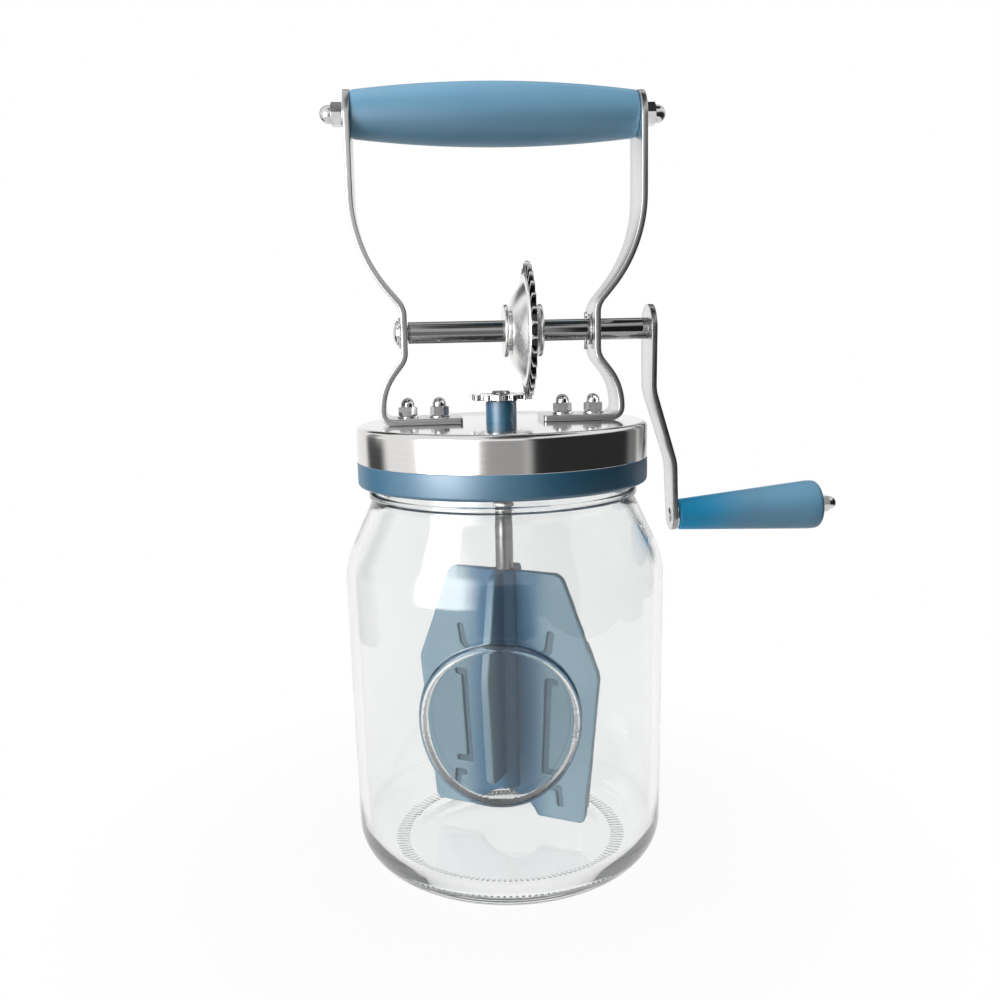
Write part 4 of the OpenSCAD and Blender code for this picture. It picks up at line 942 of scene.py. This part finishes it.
def buildHub(h):
    outer, end, step = h["left"] - h["flangeT"], h["right"] + h["flangeT"], h["left"] + h["stepT"]
    lathePiece("gearHub", [
        (h["bore"], outer, 0.2), (h["flangeR"], outer, h["flangeEdge"]), (h["flangeR"], h["left"], h["flangeEdge"]),
        (h["stepR"], h["left"], 0.2), (h["stepR"], step), (h["sleeveR"], step), (h["sleeveR"], end, 0.3),
        (h["bore"], end, 0.2)], 4, gearSteel, "crank", "gear_hub", onAxle)
    flange = ringMesh(h["flangeR"], h["sleeveR"] + fit["slip"], h["flangeT"], h["flangeEdge"], 96)
    finishPiece("hubFlange", flange, gearSteel, "crank", "hub_flange", onAxle @ up(h["right"]))


buildHub(hub)

drive = {
    "teeth": 30, "pitchR": 22.202, "out": 1.1, "inside": 2.9, "rootW": 2.1, "tipW": 0.7, "thick": 2.0, "tipShare": 0.6,
    "tipRound": 0.35, "foot": 0.5, "dishR": 16.6, "webR": 9.6, "sheet": 1.2, "bead": 2.2, "beadH": 0.5, "beadEdge": 0.2,
    "lipOut": 0.35, "lipUp": 0.25, "rimDrop": 0.6, "webIn": 0.6, "dishSteps": 9, "segments": 180,
    "swell": (0.4, 0.5, 0.8),  # height, and its shares outward and downward
}
small = {
    "teeth": 13, "pitchR": 9.621, "out": 1.1, "inside": 1.6, "rootW": 2.3, "tipW": 1.9, "thick": 1.9, "tipShare": 0.94,
    "tipRound": 0.4, "foot": 0.5, "bore": 1.75, "rimW": 1.6, "rimSlope": 0.3, "sunk": 0.12, "segments": 117,
}


def toothMesh(g):  # one tooth on +X, its middle at z 0, thinner at the tip
    rootR, tipR, thick = g["pitchR"] - g["inside"], g["pitchR"] + g["out"], g["thick"]
    footR, rootY, tipY = rootR - g["foot"], g["rootW"] / 2, g["tipW"] / 2
    outline = [(footR, -rootY), (tipR, -tipY, g["tipRound"]), (tipR, tipY, g["tipRound"]), (footR, rootY)]
    bm = bmesh.new()
    rows = []
    for side in (-1, 1):
        row = []
        for x, y in rounded(outline, 3, closed=False):
            t = max(0.0, (x - rootR) / (tipR - rootR))
            row.append(bm.verts.new((x, y, side * (thick + (thick * g["tipShare"] - thick) * t) / 2)))
        rows.append(row)
    joinRows(bm, rows, capped=True)
    return meshFrom(bm, "tooth")


def driveCore(d):  # a dished web with a bead under the toothed rim
    rootR, half, bore = d["pitchR"] - d["inside"], d["thick"] / 2, hub["sleeveR"] + fit["slip"]
    web, sheet, beadR = fit["webX"] - fit["rimX"], d["sheet"] / 2, d["dishR"] + d["bead"]
    low, bead = web - sheet, -half - d["beadH"]
    edge = bead + d["beadEdge"]
    bulge, outward, downward = d["swell"]
    bowl = []
    for k in range(1, d["dishSteps"]):  # the dish swells between the web and the bead
        t = k / d["dishSteps"]
        swell = bulge * sin(pi * t)
        x, y = d["webR"] + (d["dishR"] - d["webR"]) * t, low + (edge - low) * t
        bowl.append((x + swell * outward, y - swell * downward))
    return latheSolid("driveCore", [
        (bore, low), (d["webR"], low, 0.8), *bowl, (d["dishR"], edge, 0.3),
        (d["dishR"] + d["lipOut"], bead - d["lipUp"], 0.3), (beadR, bead, 0.35), (beadR + d["beadEdge"], -half, 0.1),
        (rootR, -half, 0.15), (rootR, half, 0.15), (d["dishR"], half, 0.3),
        (d["dishR"] - d["sheet"], half - d["rimDrop"], 0.8), (d["webR"] - d["webIn"], web + sheet, 1.6),
        (bore, web + sheet)], 5, d["segments"])


def pinionCore(p):  # a flat wheel, a little sunk inside its rim
    rootR, half = p["pitchR"] - p["inside"], p["thick"] / 2
    rimR = rootR - p["rimW"]
    return latheSolid("pinionCore", [
        (p["bore"], -half), (rootR, -half, 0.15), (rootR, half, 0.15), (rimR, half, 0.2),
        (rimR - p["rimSlope"], half - p["sunk"], 0.1), (p["bore"], half - p["sunk"])], 3, p["segments"])


driveMesh = setAround("drive", toothMesh(drive), driveCore(drive), drive["teeth"], gearSteel)
finishPiece("driveGear", driveMesh, gearSteel, "crank", "drive_gear", onAxle @ up(fit["rimX"]))
smallMesh = setAround("small", toothMesh(small), pinionCore(small), small["teeth"], brightSteel, 0.5)
finishPiece("pinionGear", smallMesh, brightSteel, "paddle", "pinion", up(fit["pinionZ"] + small["thick"] / 2))

pin = {
    "x": 29.7, "wire": 0.48, "eye": 0.74, "eyeEnd": 345, "eyeSteps": 23, "leg": 3.4, "legSteps": 6, "legWire": 0.85,
    "legStart": 0.2, "apart": 0.22, "spread": 24, "drop": 0.92,
}


def wireMesh(bm, points, radius, closed=False, sides=10):  # a round wire along points in the YZ plane
    rows = []
    last = len(points) - 1
    for i, p in enumerate(points):
        a = points[i - 1] if (i or closed) else p
        b = points[(i + 1) % (last + 1)] if (closed or i < last) else p
        along = (Vector(b) - Vector(a)).normalized()
        side = Vector((-along.y, along.x))
        row = []
        for s in range(sides):
            t = 2 * pi * s / sides
            q = Vector(p) + side * radius * cos(t)
            row.append(bm.verts.new((radius * sin(t), q.x, q.y)))
        rows.append(row)
    joinRows(bm, rows, around=closed, capped=not closed)


def splitPin(p):
    bm = bmesh.new()
    eyeZ, lowZ = fit["axleR"] + p["eye"] + p["wire"], p["legStart"] - fit["axleR"]
    wireMesh(bm, arcPoints(0, eyeZ, p["eye"], 0, p["eyeEnd"], p["eyeSteps"]), p["wire"], closed=True)
    for side in (-1, 1):
        lean, y = radians(p["spread"]) * side, p["apart"] * side
        leg = [(y, eyeZ - p["eye"]), (y, 0), (y, lowZ)]
        for k in range(1, p["legSteps"] + 1):
            t = p["leg"] * k / p["legSteps"]
            bent = min(1, 2 * k / p["legSteps"])  # the first half bends, the rest is straight
            leg.append((y + sin(lean * bent) * t, lowZ - t * p["drop"]))
        wireMesh(bm, leg, p["wire"] * p["legWire"])
    finishPiece("splitPin", meshFrom(bm, "splitPin"), brightSteel, "crank", "split_pin",
                Matrix.Translation((p["x"], 0, fit["axleZ"])), sharp=60)


splitPin(pin)
print("stage: crank and gears ready")


shaft = {"low": 104.9, "step": 125.5, "r": 2.9, "lowR": 2.1, "gearR": 1.7, "headR": 3.4, "headH": 1.1, "crown": 1.15}
headZ = fit["pinionTop"]
lathePiece("spindleShaft", [
    (0, shaft["low"]), (shaft["lowR"], shaft["low"], 0.3), (shaft["lowR"], shaft["step"]),
    (shaft["r"], shaft["step"], 0.3), (shaft["r"], fit["pinionZ"], 0.2), (shaft["gearR"], fit["pinionZ"]),
    (shaft["gearR"], headZ), (shaft["headR"], headZ, 0.2), (shaft["r"], headZ + shaft["headH"], 0.5),
    (0, headZ + shaft["crown"])], 4, stemSteel, "paddle", "spindle", segments=64, closed=False)

stem = {"r": 3.15, "groove": 2.95, "grooves": (9, 4), "grooveHalf": (0.25, 0.1), "bore": 2.14, "deep": 18, "nutH": 3.6}
stemTop, boreFloor = fit["stemTop"], fit["stemTop"] - stem["deep"]
stemCorners = [(0, fit["stemLow"]), (stem["r"], fit["stemLow"], 0.3)]
for down in stem["grooves"]:  # turned grooves
    z = stemTop - down
    mouth, floorHalf = stem["grooveHalf"]
    stemCorners += [(stem["r"], z - mouth), (stem["groove"], z - floorHalf), (stem["groove"], z + floorHalf),
                    (stem["r"], z + mouth)]
stemCorners += [(stem["r"], stemTop, 0.4), (stem["bore"], stemTop), (stem["bore"], boreFloor), (0, boreFloor)]
lathePiece("paddleStem", stemCorners, 4, stemSteel, "paddle", "paddle_stem", segments=64, closed=False)
finishPiece("lockNut", plainNutMesh(largeNut["af"], stem["nutH"], stem["bore"]), stemSteel, "paddle", "lock_nut",
            up(stemTop))

blades = {
    "height": 89.7, "topR": 21.4, "wideR": 35, "wideH": 55, "footR": 29.5, "thick": 3.0, "edge": 0.55, "root": 0.4,
    "archHalf": 11.7, "archH": 8, "crossShare": 0.55, "crossLow": 16, "hubR": 5.2, "hubLow": 10, "hubBore": 3.19,
    "web": 1.0, "webEdge": 0.1, "webLap": 0.4, "slotW": 2.2, "slotR": 16.5, "slotRound": 1.0, "slotLow": 17.5,
    "slotLen": 33.5, "slotShort": 7, "hook": 3.5, "archRound": 1.5, "footRound": 2.5, "wideRound": 9,
    "topRound": 3.5, "crossTopRound": 2.5, "archStart": 88, "archSteps": 8, "bevelSteps": 2, "hubDip": 0.3,
}


def slotChains(b):  # the long slot and the two short ones, measured from the blade's foot
    r, w, hook = b["slotR"], b["slotW"], b["hook"]
    apart, out, high = hook + 2 * w, r + hook, b["slotLow"] + b["slotLen"]
    low, rise = b["slotLow"] - apart + w, high + apart
    return [
        [(out, high), (r, high), (r - hook / 2, b["slotLow"]), (out, b["slotLow"])],
        [(r - hook, rise), (r, rise + hook), (r + w / 2, rise + hook + b["slotShort"])],
        [(r, low), (out, low), (out + w / 4, low - b["slotShort"])]]


def slotLoop(points, width, corner):  # outline of an even slot with round ends along a chain of points
    left, right = [], []
    ways = [(Vector(q) - Vector(p)).normalized() for p, q in zip(points, points[1:])]
    for p, before, after in zip(points, ways[:1] + ways, ways + ways[-1:]):
        mid = (before + after).normalized()
        side = Vector((-mid.y, mid.x)) * (width / 2) / mid.dot(before)
        left.append((*(Vector(p) + side), corner))
        right.append((*(Vector(p) - side), corner))
    return rounded(left + right[::-1], 6)


def bladeCurve(thick, edge, loops):  # a flat plate of even thickness with rounded edges
    curve = bpy.data.curves.new("blade", "CURVE")
    curve.dimensions = "2D"
    curve.fill_mode = "BOTH"
    curve.extrude = thick / 2 - edge
    curve.bevel_depth = edge
    curve.bevel_resolution = blades["bevelSteps"]
    curve.offset = -edge
    for loop in loops:
        spline = curve.splines.new("POLY")
        spline.points.add(len(loop) - 1)
        for point, (x, y) in zip(spline.points, loop):
            point.co = (x, y, 0, 1)
        spline.use_cyclic_u = True
    return curve


def bladeOutline(b, inner, low, share, topRound):  # from the axis outwards and up, inner gives the first points
    return rounded([*inner, (b["footR"] * share, low, b["footRound"]), (b["wideR"] * share, b["wideH"], b["wideRound"]),
                    (b["topR"] * share, b["height"], topRound), (b["root"], b["height"])], 6)


def wideOutline(b):  # one wide blade, over an arch at its foot
    archR = (b["archHalf"] ** 2 + b["archH"] ** 2) / (2 * b["archH"])
    archEnd = degrees(asin(b["archHalf"] / archR))
    arch = arcPoints(0, b["archH"] - archR, archR, b["archStart"], 90 - archEnd, b["archSteps"])[:-1]
    inner = [(b["root"], b["archH"]), *arch, (b["archHalf"], 0, b["archRound"])]
    return bladeOutline(b, inner, 0, 1, b["topRound"])


def crossOutline(b):  # the narrower blade between two wide ones
    inner = [(b["root"], b["crossLow"])]
    return bladeOutline(b, inner, b["crossLow"], b["crossShare"], b["crossTopRound"])


def bladeMesh(b, outline, chains):  # a plate with a thin web in each slot
    slots = [slotLoop(chain, b["slotW"], b["slotRound"]) for chain in chains]
    webs = [slotLoop(chain, b["slotW"] + b["webLap"], b["slotRound"]) for chain in chains]
    plates = [(b["thick"], b["edge"], [outline] + slots, 0.0)] + [(b["web"], b["webEdge"], [web], 1.0) for web in webs]
    parts = bmesh.new()
    for thick, edge, loops, mark in plates:
        obj = scratchObject("blade.outline", bladeCurve(thick, edge, loops))
        mesh = plainMesh(obj, "blade")
        parts.from_mesh(mesh)
        bpy.data.objects.remove(obj)
        if mark:  # the web in a slot keeps a mark, for its painted shade
            deep = parts.faces.layers.float.get("recess") or parts.faces.layers.float.new("recess")
            parts.faces.ensure_lookup_table()
            for face in parts.faces[len(parts.faces) - len(mesh.polygons):]:
                face[deep] = mark
    bmesh.ops.rotate(parts, cent=(0, 0, 0), matrix=turned(90, "X").to_3x3(), verts=parts.verts)
    return meshFrom(parts, "blade")


def buildPaddle(b):
    hubMesh = latheSolid("paddleHub", [
        (b["hubBore"], b["hubLow"] + b["hubDip"]), (b["hubR"], b["hubLow"], 1.0), (b["hubR"], b["height"], 0.8),
        (b["hubBore"], b["height"], 0.3)], 5, 64)
    crossed = setAround("paddleCross", bladeMesh(b, crossOutline(b), []), hubMesh, 2, paddleBlue, 0.5)
    mesh = setAround("paddleWide", bladeMesh(b, wideOutline(b), slotChains(b)), crossed, 2, paddleBlue)
    finishPiece("churnPaddle", mesh, paddleBlue, "paddle", "paddle",
                up(fit["paddleFoot"]) @ turned(fit["paddleTurn"], "Z"), sharp=40)


buildPaddle(blades)
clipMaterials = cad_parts["spindle_clip"].data.materials
clipMaterials.clear()
clipMaterials.append(stemSteel)
print("stage: paddle ready")


camera = {
    "place": (-30.76, -338.15, 182.17), "forward": (0.08623, 0.98309, -0.16155), "roll": 1.246, "focal": 981.6,
    "sensor": 36, "picture": 1000, "nearest": 0.01,  # focal length and picture width are in pixels
}


def placeCamera(c):
    forward = Vector(c["forward"]).normalized()
    right = forward.cross(Vector((0, 0, 1))).normalized()
    upward = right.cross(forward)
    roll = radians(c["roll"])
    tiltedRight = right * cos(roll) - upward * sin(roll)
    tiltedUp = right * sin(roll) + upward * cos(roll)
    data = bpy.data.cameras.new("camera")
    data.sensor_width = c["sensor"]
    data.lens = c["focal"] * c["sensor"] / c["picture"]
    data.clip_start = c["nearest"]
    obj = scratchObject("camera", data)
    turn = Matrix((tiltedRight, tiltedUp, -forward)).transposed().to_4x4()
    obj.matrix_world = Matrix.Translation(Vector(c["place"]) * mm) @ turn
    scene.camera = obj


placeCamera(camera)

middle = Vector((0, 0, 0.14))  # what the lamps and boards face, in metres
lamps = [  # name, place, size, watts
    ("keyLight", (-1.02, -0.62, 0.66), (0.6, 0.8), 15),
    ("topLight", (-0.10, -0.15, 1.10), (0.7, 0.5), 5.0),
]
cards = [  # name, place, size, glow, soft share of each side, shown through glass
    ("cardRight", (0.238, -0.198, 0.16), (0.54, 0.50), 0.03, (0.15, 0.25), False),
    ("cardRightEnd", (0.33, -0.012, 0.15), (0.20, 0.40), 0.03, (0.25, 0.20), False),
    ("cardFarRight", (0.36, 0.10, 0.15), (0.22, 0.40), 0.20, (0.30, 0.20), False),
    ("cardBackLeft", (-0.279, 0.118, 0.05), (0.20, 0.24), 0.08, (0.30, 0.20), False),
    ("sideLeft", (-0.30, 0.16, 0.19), (0.14, 0.26), 0.30, (0.35, 0.25), True),
    ("sideRight", (0.27, 0.20, 0.19), (0.14, 0.26), 0.25, (0.35, 0.25), True),
    ("cardFrontLow", (-0.02, -0.33, 0.10), (0.26, 0.32), 0.40, (0.25, 0.12), True),
    ("cardFrontHigh", (0.02, -0.30, 0.66), (0.36, 0.44), 0.16, (0.25, 0.14), False),
    ("cardTop", (0.12, -0.04, 0.62), (0.44, 0.40), 0.04, (0.20, 0.25), False),
    ("cardBack", (0.0, 0.36, 0.44), (0.8, 0.30), 0.05, (0.1, 0.25), False),
    ("gleamCard", (-0.36, -0.347, 0.17), (0.50, 0.56), 8.0, (0.36, 0.22), True),
]


def facing(obj, place, front):  # puts a lamp or board in its place, with one axis to the middle
    obj.location = place
    obj.rotation_euler = (middle - Vector(place)).to_track_quat(front, "Y").to_euler()


def softbox(name, place, size, watts):  # lights matt surfaces only, the boards make the gloss
    data = bpy.data.lights.new(name, "AREA")
    data.shape = "RECTANGLE"
    data.size, data.size_y = size
    data.energy = watts
    obj = scratchObject(name, data)
    facing(obj, place, "-Z")
    obj.visible_glossy = False


def gridMesh(name, size, z=0):
    bm = bmesh.new()
    bmesh.ops.create_grid(bm, x_segments=1, y_segments=1, size=size)
    bmesh.ops.translate(bm, vec=(0, 0, z), verts=bm.verts)
    return meshFrom(bm, name)


def shadeCard(name, place, size, glow, fade, throughGlass):  # a soft-edged board that only gloss and glass show
    half = 0.5  # of a board one metre wide, before it is scaled
    obj = scratchObject(name, gridMesh(name, half))
    obj.scale = (*size, 1)
    facing(obj, place, "Z")
    material, tree, here = newMaterial(name)
    split = put(tree, "ShaderNodeSeparateXYZ", {"Vector": here})
    edges = []
    for axis, soft in zip(("X", "Y"), fade):
        away = mathNode(tree, "ABSOLUTE", split.outputs[axis])
        edges.append(mapRange(tree, away, half - soft, half, 1.0, 0.0, "SMOOTHSTEP"))
    clear = put(tree, "ShaderNodeBsdfTransparent")
    board = put(tree, "ShaderNodeEmission", {"Strength": glow})
    surface(tree, mixShader(tree, mathNode(tree, "MULTIPLY", *edges), clear, board))
    obj.data.materials.append(material)
    obj.visible_camera = False
    obj.visible_diffuse = False
    obj.visible_shadow = False
    obj.visible_transmission = throughGlass


for lamp in lamps:
    softbox(*lamp)
for card in cards:
    shadeCard(*card)


def seenRay(tree):  # 1 for what the camera, gloss and glass show, 0 for light that falls on matt surfaces
    path = put(tree, "ShaderNodeLightPath").outputs
    seen = mathNode(tree, "MAXIMUM", path["Is Camera Ray"], path["Is Glossy Ray"])
    return mathNode(tree, "MAXIMUM", seen, path["Is Transmission Ray"])


floor = {
    "size": 3, "z": -0.0004, "dark": (0.33, 0.33, 0.33), "light": (0.36, 0.36, 0.36), "rough": 0.7, "cloudScale": 2.0,
    "whiteFrom": 0.06, "whiteTo": 0.16, "whiteNear": 0.95,  # the white share grows away from the jar
}


def buildFloor(f):  # white where it is seen, with the object's own shadow near its foot
    obj = scratchObject("floor", gridMesh("floor", f["size"], f["z"]))
    material, tree, here = newMaterial("floorWhite")
    tone = toneMix(tree, cloudNode(tree, here, f["cloudScale"]), f["dark"], f["light"])
    matt = put(tree, "ShaderNodeBsdfPrincipled", {"Base Color": tone, "Roughness": f["rough"]})
    white = mapRange(tree, vectorNode(tree, "LENGTH", here), f["whiteFrom"], f["whiteTo"], f["whiteNear"], 1.0)
    share = mathNode(tree, "MULTIPLY", seenRay(tree), white)
    surface(tree, mixShader(tree, share, matt, put(tree, "ShaderNodeEmission")))
    obj.data.materials.append(material)


buildFloor(floor)

studio = {"ambient": (0.96, 0.98, 1.0), "ambientLevel": 0.085, "shown": (1, 1, 1), "shownLevel": 1.0}


def buildWorld(s):
    world = bpy.data.worlds.new("studio")
    world.use_nodes = True
    scene.world = world
    tree = world.node_tree
    tree.nodes.clear()
    ambient = put(tree, "ShaderNodeBackground", {"Color": s["ambient"], "Strength": s["ambientLevel"]})
    shown = put(tree, "ShaderNodeBackground", {"Color": s["shown"], "Strength": s["shownLevel"]})
    put(tree, "ShaderNodeOutputWorld", {"Surface": mixShader(tree, seenRay(tree), ambient, shown)})


buildWorld(studio)
scene.view_settings.view_transform = "Standard"
print("stage: studio ready")
